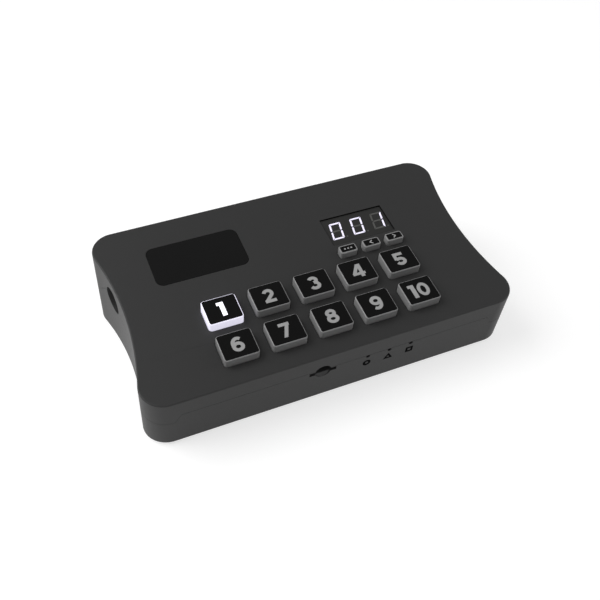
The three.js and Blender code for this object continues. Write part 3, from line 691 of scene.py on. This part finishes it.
def sharedCutters():
    cutters = [
        addBar("well", case["wellRadius"], usbMiddle, X, -case["halfWidth"] - over,
               usbLow.x + case["wellFloor"], 96),
        usbPill("usbHole", usb["clearance"], usbLow.x - over, usbLow.x + over)]
    for name in numbered("dmx_socket", 2):
        radius = noseRadius(name) + case["noseClearance"]
        cutters.append(addBar("socketHole", radius, nodeMiddle[name], Y, backY - over, backY + over, 96))
    return cutters


def notchCutters():
    centre, z, radius = (slotX, 0, notchZ), notchZ, case["notchRadius"]
    out, floor, wide = frontY - over, frontY + case["notchScoop"], 2 * radius
    hole = addBar("notch", radius, centre, Y, out, frontY + over, 72)
    above = addBlock("above", (slotX - wide, out - over, z),
                     (slotX + wide, frontY + 2 * over, z + wide))
    combine(hole, above, "INTERSECT")
    # under the slot the thumb's scoop slopes out until it meets the wall
    scoop = addBar("scoop", radius, centre, Y, out, floor, 72)
    slope = slab("slope", [
        (out - over, z - radius), (wallY(z), z - radius), (floor, z), (floor, z + wide),
        (out - over, z + wide)], slotX - wide, slotX + wide, X)
    combine(scoop, slope, "INTERSECT")
    return [combine(hole, scoop, "UNION")]


def topCutters():
    low, high = caseTop - case["topCut"], caseTop + case["topCut"]
    cutters = []
    for names, size in ((keyNames, key["large"]), (smallKeyNames, key["small"])):
        for name in names:
            cutters.append(blockOver("keyHole", name, case["keyClearance"] - size["lip"], low, high,
                                     size["corner"] + case["keyClearance"]))
    cutters.append(blockOver("window", "display_lens", display["clearance"], low, high,
                             display["windowCorner"], 3))
    cutters.append(blockOver("badgeBed", "badge_plate", badge["clearance"],
                             nodeBox["badge_plate"][0].z, high, badge["bedCorner"], 10))
    return [joinAll(cutters, "topCutters")]


def insideRibs():
    # ribs between the keys' light wells and the bosses for the screws
    first = nodeBox["key_6"][0]
    pitchX = nodeBox["key_7"][0].x - first.x
    pitchY = nodeBox["key_1"][0].y - first.y
    startX = nodeMiddle["key_6"].x - pitchX / 2
    startY = nodeMiddle["key_6"].y - pitchY / 2
    low, high = boardHigh.z + case["ribRise"], caseTop - case["ribSink"]
    half = case["ribHalf"]
    ribs = []
    for row in range(3):
        y = startY + row * pitchY
        ribs.append(addBlock("rib", (startX - half, y - half, low),
                             (startX + 5 * pitchX + half, y + half, high)))
    for column in range(6):
        x = startX + column * pitchX
        ribs.append(addBlock("rib", (x - half, startY, low), (x + half, startY + 2 * pitchY, high)))
    for i in range(1, 5):
        for name, radius, start in (("case_screw", boss["caseRadius"], jointZ),
                                    ("board_screw", boss["boardRadius"], boardHigh.z)):
            ribs.append(addBar("boss", radius, nodeMiddle[f"{name}_{i}"], Z, start + boss["gap"], high, 32))
    return ribs


def screwBars(prefix, radius, low, high):
    # upright bars at the screws, for their holes and for the lower bosses
    bars = [addBar("bar", radius, nodeMiddle[name], Z, low, high, 24) for name in numbered(prefix)]
    return joinAll(bars, "bars")


def footPockets():
    # recesses square to the underside, so they are set out upright and then brought to the level frame
    pockets = [addBar("pocket", foot["pocketRadius"], middle(*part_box(name)) / toMetres, Z, -over,
                      foot["pocketTop"]) for name in numbered("foot")]
    pockets = joinAll(pockets, "pockets")
    pockets.data.transform(toLevel @ Matrix.Scale(toMetres, 4))
    return pockets


def makeTopShell():
    shell = hollowCase("topShell")
    lipGap = case["lipGap"]
    region = lowerRegion(case["seamGap"] / 2, case["lipInset"] - lipGap, case["lipRise"] + lipGap)
    combine(shell, region, "DIFFERENCE")
    for rib in insideRibs():
        combine(shell, rib, "UNION")
    cutEach(shell, sharedCutters() + notchCutters() + topCutters())
    for prefix, (radius, depth), start, reach in (
            ("case_screw", boss["casePilot"], jointZ, over),
            ("board_screw", boss["boardPilot"], boardLow.z, 0)):
        combine(shell, screwBars(prefix, radius, start - reach, start + depth), "DIFFERENCE")
    breakEdges(shell, case["edge"])
    finishPiece(shell, "mouldedBlackAbs", "case", ["top_shell"])


def makeBottomShell():
    shell = hollowCase("bottomShell")
    region = lowerRegion(-case["seamGap"] / 2, case["lipInset"], case["lipRise"])
    combine(shell, region, "INTERSECT")
    lowerBosses = screwBars("case_screw", boss["lowerRadius"], deepZ, jointZ)
    outside = caseSolid("outside", boss["floorGap"], caseTop, boss["floorGap"])
    combine(lowerBosses, outside, "INTERSECT")
    combine(shell, lowerBosses, "UNION")
    halfSlot, back = case["slotWidth"] / 2, frontY + case["frontCut"]
    slot = addBlock("slot", (slotX - halfSlot, frontY - over, slotBottom),
                    (slotX + halfSlot, back, slotBottom + case["slotHeight"]))
    lights = [addBar("lightHole", case["lightHole"], (nodeMiddle[name].x, 0, lightZ), Y,
                     frontY - over, back, 32) for name in lightNames]
    cutEach(shell, sharedCutters() + notchCutters() + [slot, joinAll(lights, "lightHoles")])
    cutEach(shell, [screwBars("case_screw", boss["headHole"], deepZ, screwSeatZ)])
    cutEach(shell, [screwBars("case_screw", boss["shankHole"], screwSeatZ - 1, jointZ + 2)])
    cutEach(shell, [footPockets()])
    breakEdges(shell, case["edge"])
    finishPiece(shell, "mouldedBlackAbs", "case", ["bottom_shell"])


# Numbers: each stroke is a centre line with a width, in millimetres about the number's middle

number = {
    "height": 6.9,
    "stroke": 1.5,
    "thickness": 0.03,
    "places": {1: (0.0,), 2: (-2.9, 1.75)},  # middles of one digit, or of two
}


def arcPoints(centre, radii, start, end, steps=14):
    angles = [math.radians(start + (end - start) * i / steps) for i in range(steps + 1)]
    return [Vector((centre[0] + radii[0] * math.cos(angle), centre[1] + radii[1] * math.sin(angle)))
            for angle in angles]


def ovalPoints(centre, radii, steps=20):
    return arcPoints(centre, radii, 0, 360, steps)[:-1]


def linePoints(*pairs):
    return [Vector(pair) for pair in pairs]


def strokeOutline(path, width):
    # both sides of a centre line, with square ends and mitred corners
    left, right = [], []
    for i, point in enumerate(path):
        before = (point - path[i - 1]).normalized() if i else None
        after = (path[i + 1] - point).normalized() if i + 1 < len(path) else None
        before, after = before or after, after or before
        middleWay = (before + after).normalized()
        side = Vector((-middleWay.y, middleWay.x))
        reach = width / 2 / max(0.5, side.dot(Vector((-before.y, before.x))))
        left.append(point + side * reach)
        right.append(point - side * reach)
    return left + right[::-1]


def ringOutlines(centre, radii, width, steps=36):
    return [ovalPoints(centre, (radii[0] + half, radii[1] + half), steps)
            for half in (width / 2, -width / 2)]


def numberStrokes(digit):
    # the shapes of plain bold numbers; each entry is one stroke's outlines
    w = number["stroke"]
    top = number["height"] / 2
    t = top - w / 2

    def path(points, share=1):
        return [strokeOutline(points, w * share)]

    def line(start, end, share=1):
        return path(linePoints(start, end), share)

    shapes = {
        "0": [ringOutlines((0, 0), (1.85, t), w)],
        "1": [line((0.33, top), (0.33, -top), 1.25), line((-1.57, t), (0.4, t))],
        "2": [path(arcPoints((-0.05, t - 1.5), (1.62, 1.5), 165, -38) + linePoints((-1.6, -t + 0.1))),
              line((-2.35, -t), (2.4, -t))],
        "3": [path(arcPoints((-0.1, t - 1.22), (1.5, 1.22), 158, -90)),
              path(arcPoints((0, -t + 1.45), (1.75, 1.45), 90, -160))],
        "4": [line((1.45, top + 0.6), (-2.1, -1.5)), line((-2.8, -1.65), (2.85, -1.65), 0.87),
              line((1.3, top), (1.3, -top), 1.07)],
        "5": [line((-2.3, t), (2.1, t)), line((-1.6, top), (-1.65, -0.35)),
              path(linePoints((-1.7, -0.05)) + arcPoints((0, -t + 1.45), (1.75, 1.45), 100, -160))],
        "6": [ringOutlines((0, -t + 1.55), (1.75, 1.55), w),
              path(linePoints((-1.75, -1.1)) + arcPoints((0.3, 0.2), (2.05, t - 0.2), 180, 52))],
        "7": [line((-2.3, t), (2.25, t)), line((1.45, t), (-1.3, -top - 0.7))],
        "8": [ringOutlines((0, t - 1.2), (1.5, 1.25), w), ringOutlines((0, -t + 1.42), (1.8, 1.45), w)],
    }
    shapes["9"] = [[[-p for p in outline] for outline in stroke] for stroke in shapes["6"]]
    return shapes[digit]


def makeNumber(name):
    text = name.split("_")[1]
    name += "_number"
    half = number["height"] / 2
    pieces = []
    for shift, digit in zip(number["places"][len(text)], text):
        solid = None
        for stroke in numberStrokes(digit):
            flat = flatPiece(name, stroke, number["thickness"])
            moveBy(flat, (shift, 0, 0))
            solid = flat if solid is None else combine(solid, flat, "UNION")
        # slanting strokes end level with the number's top and foot
        combine(solid, addBlock("band", (-9, -half, -1), (9, half, 1)), "INTERSECT")
        pieces.append(solid)
    return joinAll(pieces, name)


# Keys: a frosted body, a painted top and a number that lets the light through

key = {
    "edgeSegments": 4,
    "cornerSegments": 8,
    "flangeGap": 0.3,         # under the case's top wall
    "flangeThickness": 1.2,
    "roof": 1.8,
    "hollowCorner": 0.4,
    "stemRadius": 1.5,
    "paint": 0.03,
    "lit": "key_1",
    "large": {"corner": 1.3, "lip": 1.25, "edge": 0.45, "wall": 1.3,
              "paintInset": 0.38, "paintCorner": 0.75},
    "small": {"corner": 1.1, "lip": 0.9, "edge": 0.4, "wall": 0.9,
              "paintInset": 0.62, "paintCorner": 0.45},
}


def keyBody(node, size):
    low, high = nodeBox[node]
    flangeTop = caseTop - case["topWall"] - key["flangeGap"]
    flangeBottom = flangeTop - key["flangeThickness"]
    top, lip, around = high.z - key["paint"], size["lip"], key["cornerSegments"]
    cap = blockOver("keyBody", node, -lip, flangeBottom, top, size["corner"], around)
    bevelEdges(cap, atLevel(Z, top), size["edge"], key["edgeSegments"])
    flange = blockOver("flange", node, 0, flangeBottom, flangeTop, size["corner"] + lip, around)
    combine(cap, flange, "UNION")
    hollow = blockOver("hollow", node, -lip - size["wall"], flangeBottom - over, top - key["roof"],
                       key["hollowCorner"], 3)
    combine(cap, hollow, "DIFFERENCE")
    stem = addBar("stem", key["stemRadius"], nodeMiddle[node], Z, low.z, top - key["roof"] / 2, 24)
    return combine(cap, stem, "UNION")


def makeKeys(names, size, makeMark):
    first, high = nodeBox[names[0]]
    body = keyBody(names[0], size)
    cover = blockOver("keyPaint", names[0], -size["lip"] - size["paintInset"],
                      high.z - 2 * key["paint"], high.z, size["paintCorner"], 4)
    for name in names:
        low, high = nodeBox[name]
        lit = name == key["lit"]
        plastic = "litPolycarbonate" if lit else "frostedPolycarbonate"
        finishPiece(copyOf(body, name + "_body", low - first), plastic, name, [name])
        finishPiece(copyOf(cover, name + "_paint", low - first), "blackKeyPaint", name)
        mark = makeMark(name)
        centre = nodeMiddle[name]
        moveBy(mark, (centre.x, centre.y, high.z))
        shown = "litLaseredNumber" if lit else "laseredNumber"
        finishPiece(mark, shown, name)
    bpy.data.objects.remove(body)
    bpy.data.objects.remove(cover)


def makeSmallMark(name):
    # three dots, and an arrow head each way
    arrow = strokeOutline(linePoints((0.55, 0.95), (-0.55, 0), (0.55, -0.95)), 0.5)
    marks = {
        "key_bank": [ovalPoints((x, 0), (0.42, 0.42)) for x in (-1.5, 0, 1.5)],
        "key_prev": [arrow],
        "key_next": [[Vector((-p.x, p.y)) for p in arrow]],
    }
    return flatPiece(name + "_mark", marks[name], number["thickness"])


def makeLargeKeys():
    makeKeys(keyNames, key["large"], makeNumber)


def makeSmallKeys():
    makeKeys(smallKeyNames, key["small"], makeSmallMark)


# Display: three slanted seven-segment digits under the smoked film

display = {
    "digitHeight": 9.4,
    "digitWidth": 5.5,
    "pitch": 10.15,
    "shift": 0.1,             # of the digits to the right of the film's middle
    "slant": 0.176,           # tangent of ten degrees
    "segment": 0.8,
    "joint": 0.16,            # half the gap where two segments meet
    "point": (0.55, 0.4),     # of the decimal point from the digit's lower right corner
    "pointRadius": 0.4,
    "thickness": 0.03,
    "filmCorner": 0.2,
    "windowCorner": 0.3,
    "clearance": 0.15,
    # the black strip that paints the shade on the window's recess wall: its thickness, its sink below the
    # top and its gap to the film
    "shadeGasket": 0.12,
    "shadeGasketSink": 0.05,
    "shadeGasketGap": 0.02,
    "shown": ["abcdef", "abcdef", "bc"],
}


def segmentOutlines(letters, offset):
    # each segment is mitred at a corner of the digit and pointed where three meet
    half, w = display["segment"] / 2, display["digitWidth"] - display["segment"]
    h = (display["digitHeight"] - display["segment"]) / 2
    ends = {
        "a": ((0, 2 * h), (w, 2 * h)), "g": ((0, h), (w, h)), "d": ((0, 0), (w, 0)),
        "f": ((0, h), (0, 2 * h)), "b": ((w, h), (w, 2 * h)),
        "e": ((0, 0), (0, h)), "c": ((w, 0), (w, h)),
    }
    middleOfDigit = Vector((w / 2, h))
    outlines = []
    for letter in letters:
        start, end = (Vector(p) for p in ends[letter])
        run = (end - start).normalized()
        side = Vector((-run.y, run.x)) * half
        if side.dot((start + end) / 2 - middleOfDigit) < 0:
            side = -side
        outline = []
        for place, inward in ((start, run), (end, -run)):
            corner = abs(place.y - h) > near
            tip = place + inward * display["joint"]
            outer = tip + side + inward * half * (-1 if corner else 1)
            inner = tip - side + inward * half
            outline += [outer, tip, inner] if inward == run else [inner, tip, outer]
        outlines.append([Vector((p.x - w / 2 + (p.y - h) * display["slant"] + offset.x,
                                 p.y - h + offset.y)) for p in outline])
    return outlines


def makeDisplay():
    low, high = nodeBox["display_lens"]
    film = blockOver("displayFilm", "display_lens", 0, low.z, high.z, display["filmCorner"], 2)
    finishPiece(film, "smokedFilm", "case", ["display_lens"])
    # a black strip round the film that stands along the window's recess wall as painted shade
    shadeGasket = blockOver("displayShadeGasket", "display_lens", display["shadeGasket"], low.z,
                       caseTop - display["shadeGasketSink"])
    opening = blockOver("opening", "display_lens", display["shadeGasketGap"], low.z - 1, caseTop)
    combine(shadeGasket, opening, "DIFFERENCE")
    finishPiece(shadeGasket, "paintedShadeFoam", "case")
    centre = nodeMiddle["display_lens"]
    right, above = display["point"]
    lit, dark = [], []
    for i, shown in enumerate(display["shown"]):
        offset = Vector((centre.x + (i - 1) * display["pitch"] + display["shift"], centre.y))
        lit += segmentOutlines(shown, offset)
        dark += segmentOutlines([s for s in "abcdefg" if s not in shown], offset)
        point = (offset.x + display["digitWidth"] / 2 + right,
                 offset.y - display["digitHeight"] / 2 + above)
        dark.append(ovalPoints(point, (display["pointRadius"],) * 2))
    for name, outlines, material in (("litSegments", lit, "litSegment"),
                                     ("darkSegments", dark, "unlitSegment")):
        flat = flatPiece(name, outlines, display["thickness"])
        moveBy(flat, (0, 0, high.z))
        finishPiece(flat, material, "case")


# Badge: a bare plate let in flush

badge = {
    "corner": 3.4,
    "edge": 0.08,
    "bedCorner": 3.5,
    "clearance": 0.12,
}


def makeBadge():
    low, high = nodeBox["badge_plate"]
    plate = blockOver("badgePlate", "badge_plate", 0, low.z, high.z, badge["corner"], 10)
    bevelEdges(plate, atLevel(Z, high.z), badge["edge"], 2)
    finishPiece(plate, "blackAcrylic", "case", ["badge_plate"])


# Status lights: a smoked rod with a domed end in the wall, on a block over its diode

light = {
    "radius": 0.86,
    "dome": 0.2,
    "blockDepth": 1.9,
    "blockHalf": 1.0,
}


def makeLights():
    low, high = nodeBox["status_light_1"]
    x, blockFront = nodeMiddle["status_light_1"].x, high.y - light["blockDepth"]
    rod = addBar("guide", light["radius"], (x, 0, lightZ), Y, low.y, blockFront + light["radius"], 32)
    bevelEdges(rod, atLevel(Y, low.y), light["dome"], 4)
    block = addBlock("block", (x - light["blockHalf"], blockFront, low.z),
                     (x + light["blockHalf"], high.y, high.z))
    combine(rod, block, "UNION")
    finishCopies(rod, {name + "_guide": name for name in lightNames}, "smokedAcrylicGuide")


# Front marks: a small sign under each status light

sign = {
    "drop": 2.4,              # below the board's top
    "thickness": 0.03,
    "ring": (1.25, 1.1),      # radius and width
    "triangle": ((-2.2, -1.7), (2.2, -1.7), (0, 2.0)),
    "triangleHole": 0.34,
    "holeDrop": 0.3,
    "squareHalf": 1.7,
    "squareHole": 0.42,
}


def frontSigns():
    radius, width = sign["ring"]
    triangle = linePoints(*sign["triangle"])
    half = sign["squareHalf"]
    square = linePoints((-half, -half), (half, -half), (half, half), (-half, half))
    triangleHole = [p * sign["triangleHole"] - Vector((0, sign["holeDrop"])) for p in triangle]
    return [ringOutlines((0, 0), (radius, radius), width, 32), [triangle, triangleHole],
            [square, [p * sign["squareHole"] for p in square]]]


def makeFrontMarks():
    z = boardHigh.z - sign["drop"]
    onWall = Matrix.Rotation(math.pi / 2 - math.atan(case["draft"]), 4, "X")
    for i, outlines in enumerate(frontSigns()):
        mark = flatPiece(f"front_sign_{i + 1}", outlines, sign["thickness"])
        place = (nodeMiddle[lightNames[i]].x, wallY(z), z)
        mark.data.transform(Matrix.Translation(place) @ onWall)
        finishPiece(mark, "blackPadPrint", "case")


# Output sockets: collar, contact carrier, contacts

socket = {
    "corner": 1.5,
    "edge": 0.15,
    "collar": 2.7,            # how far the nose stands past the body
    "floor": 2.0,
    "noseInset": 0.4,
    "noseChamfer": 0.35,
    "boreRadius": 9.7,
    "insertRadius": 7.7,
    "insertEdge": 0.2,
    "keyway": (1.8, 1.0),     # width and depth
    "cutDepth": 12.0,         # of the keyway and the contact holes
    "contactAngles": (180, 270, 360),
    "contactCircle": 3.5,
    "contactHole": 1.35,
    "contactGap": 0.08,
    "contactInner": 0.95,
    "contactRun": (11.9, 1.2),    # of a contact behind the insert's face, from back to front
    "contactBore": 10.0,
}


def noseRadius(name):
    low, high = nodeBox[name]
    return (high.z - low.z) / 2 - socket["noseInset"]


def makeSocket(name):
    low, high = nodeBox[name]
    centre, back, floor = nodeMiddle[name], high.y, low.y + socket["floor"]
    body = addBlock(name + "_shell", low, (high.x, back - socket["collar"], high.z))
    bevelEdges(body, along(Y), socket["corner"], 3)
    nose = addBar("nose", noseRadius(name), centre, Y, floor, back, 96)
    bevelEdges(nose, atLevel(Y, back), socket["noseChamfer"], 2)
    combine(body, nose, "UNION")
    cutEach(body, [addBar("bore", socket["boreRadius"], centre, Y, floor, back + over, 96)])
    breakEdges(body, socket["edge"])
    finishPiece(body, "glassFilledNylon", "case", [name])


def makeInsert(name):
    low, high = nodeBox[name]
    centre, face = nodeMiddle[name], high.y
    deep, out = face - socket["cutDepth"], face + over
    body = addBar(name + "_carrier", socket["insertRadius"], centre, Y, low.y, face, 96)
    width, depth = socket["keyway"]
    cutEach(body, [addBlock("keyway", (centre.x - width / 2, deep, high.z - depth),
                            (centre.x + width / 2, out, high.z + over))])
    back, front = (face - reach for reach in socket["contactRun"])
    contacts = []
    for degrees in socket["contactAngles"]:
        turn = math.radians(degrees)
        spot = (centre.x + socket["contactCircle"] * math.cos(turn), 0,
                centre.z + socket["contactCircle"] * math.sin(turn))
        cutEach(body, [addBar("hole", socket["contactHole"], spot, Y, deep, out, 32)])
        radius = socket["contactHole"] - socket["contactGap"]
        tube = addBar("contact", radius, spot, Y, back, front, 32)
        cutEach(tube, [addBar("hole", socket["contactInner"], spot, Y, face - socket["contactBore"],
                              out, 32)])
        contacts.append(tube)
    breakEdges(body, socket["insertEdge"])
    finishPiece(body, "glassFilledNylon", "case", [name])
    contacts = joinAll(contacts, name.replace("insert", "contacts"))
    finishPiece(contacts, "goldFlashedBrass", "case")


def makeOutputs():
    for socketName, insertName in zip(numbered("dmx_socket", 2), numbered("dmx_insert", 2)):
        makeSocket(socketName)
        makeInsert(insertName)


# Computer socket: a folded shell with its tongue

usb = {
    "clearance": 0.15,
    "roundShare": 0.96,       # of half the height, on the shell's long edges
    "sheet": 0.3,
    "edge": 0.06,
    "mouthDepth": 6.2,
    "tongueRun": (0.8, 6.3),  # behind the shell's mouth
    "tongueHalf": (3.35, 0.35),
    "tongueEdge": 0.12,
    "padRun": (1.2, 5.5),
    "padHalf": (0.14, 0.03),
    "padPitch": 0.5,
    "pads": 12,               # on each face
}


def usbPill(name, grow, low, high):
    halfWidth, halfHeight = (usbHigh.y - usbLow.y) / 2 + grow, (usbHigh.z - usbLow.z) / 2 + grow
    y, z = usbMiddle.y, usbMiddle.z
    pill = addBlock(name, (low, y - halfWidth, z - halfHeight), (high, y + halfWidth, z + halfHeight))
    bevelEdges(pill, along(X), halfHeight * usb["roundShare"], 8)
    return pill


def usbBlock(name, run, y, z, half):
    return addBlock(name, (usbLow.x + run[0], y - half[0], z - half[1]),
                    (usbLow.x + run[1], y + half[0], z + half[1]))


def makeUsbSocket():
    shell = usbPill("usbShell", 0, usbLow.x, usbHigh.x)
    cutEach(shell, [usbPill("mouth", -usb["sheet"], usbLow.x - over, usbLow.x + usb["mouthDepth"])])
    breakEdges(shell, usb["edge"])
    finishPiece(shell, "nickelPlatedSteel", "case", ["usb_socket"])
    y, z = usbMiddle.y, usbMiddle.z
    tongue = usbBlock("usbTongue", usb["tongueRun"], y, z, usb["tongueHalf"])
    breakEdges(tongue, usb["tongueEdge"])
    finishPiece(tongue, "glassFilledNylon", "case")
    pads = [usbBlock("pad", usb["padRun"], y + (i - (usb["pads"] - 1) / 2) * usb["padPitch"],
                     z + side * usb["tongueHalf"][1], usb["padHalf"])
            for side in (-1, 1) for i in range(usb["pads"])]
    finishPiece(joinAll(pads, "usbPads"), "goldFlashedBrass", "case")


# Feet and screws

foot = {
    "edge": 0.4,
    "pocketRadius": 5.25,
    "pocketTop": 1.8,         # above the floor
}

screw = {
    "case_screw": {"head": 1.5, "shank": 1.45},
    "board_screw": {"head": 1.3, "shank": 1.2},
    "headRoundShare": 0.28,
    "tipRoundShare": 0.5,
    "cross": (1.25, 0.32),    # half the length and half the width of a slot
    "crossDepth": 0.95,
}


def roomBox(name):
    return [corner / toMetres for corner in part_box(name)]


def makeFeet():
    # the feet stand upright, so they are modelled in the room's own frame
    low, high = roomBox("foot_1")
    rubber = addBar("foot", (high.x - low.x) / 2, middle(low, high), Z, low.z, high.z, 64)
    bevelEdges(rubber, atLevel(Z, low.z), foot["edge"], 4)
    finishCopies(rubber, {f"rubberFoot_{i}": f"foot_{i}" for i in range(1, 5)}, "blackNeoprene",
                 roomBox, Matrix.Scale(toMetres, 4))


def makeScrews():
    for prefix in ("case_screw", "board_screw"):
        low, high = nodeBox[prefix + "_1"]
        centre, radius = nodeMiddle[prefix + "_1"], (high.x - low.x) / 2
        headHeight, shank = screw[prefix]["head"], screw[prefix]["shank"]
        head = addBar("screw", radius, centre, Z, low.z, low.z + headHeight, 40)
        bevelEdges(head, atLevel(Z, low.z), radius * screw["headRoundShare"], 5)
        rod = addBar("rod", shank, centre, Z, low.z + headHeight / 2, high.z, 24)
        bevelEdges(rod, atLevel(Z, high.z), shank * screw["tipRoundShare"], 2)
        combine(head, rod, "UNION")
        for x, y in (screw["cross"], screw["cross"][::-1]):
            cutEach(head, [addBlock("recess", (centre.x - x, centre.y - y, low.z - over),
                                    (centre.x + x, centre.y + y, low.z + screw["crossDepth"]))])
        finishCopies(head, {name + "_steel": name for name in numbered(prefix)}, "blackOxideSteel")


# CAD nodes that stay as they are, with their own finishes

def dressInner():
    finishes = {"main_board": "greenSolderMask", "card_socket": "blackOxideSteel"}
    switches = [name.replace("key", "switch") for name in keyNames + smallKeyNames]
    for name in ["main_board", "card_socket", "display_module", "controller_chip"] + switches:
        node = frame["nodes"][name]
        node.data.materials.clear()
        node.data.materials.append(materials[finishes.get(name, "glassFilledNylon")])


stages = {
    "camera and room": (addCamera, addFloor, addSky, addLamps),
    "case": (makeTopShell, makeBottomShell),
    "keys": (makeLargeKeys, makeSmallKeys),
    "display, badge, lights and marks": (makeDisplay, makeBadge, makeLights, makeFrontMarks),
    "sockets, feet and screws": (makeOutputs, makeUsbSocket, makeFeet, makeScrews),
    "inner pieces": (dressInner,),
}
for stage, steps in stages.items():
    print(stage)
    for step in steps:
        step()
bpy.context.scene.view_settings.view_transform = "Standard"
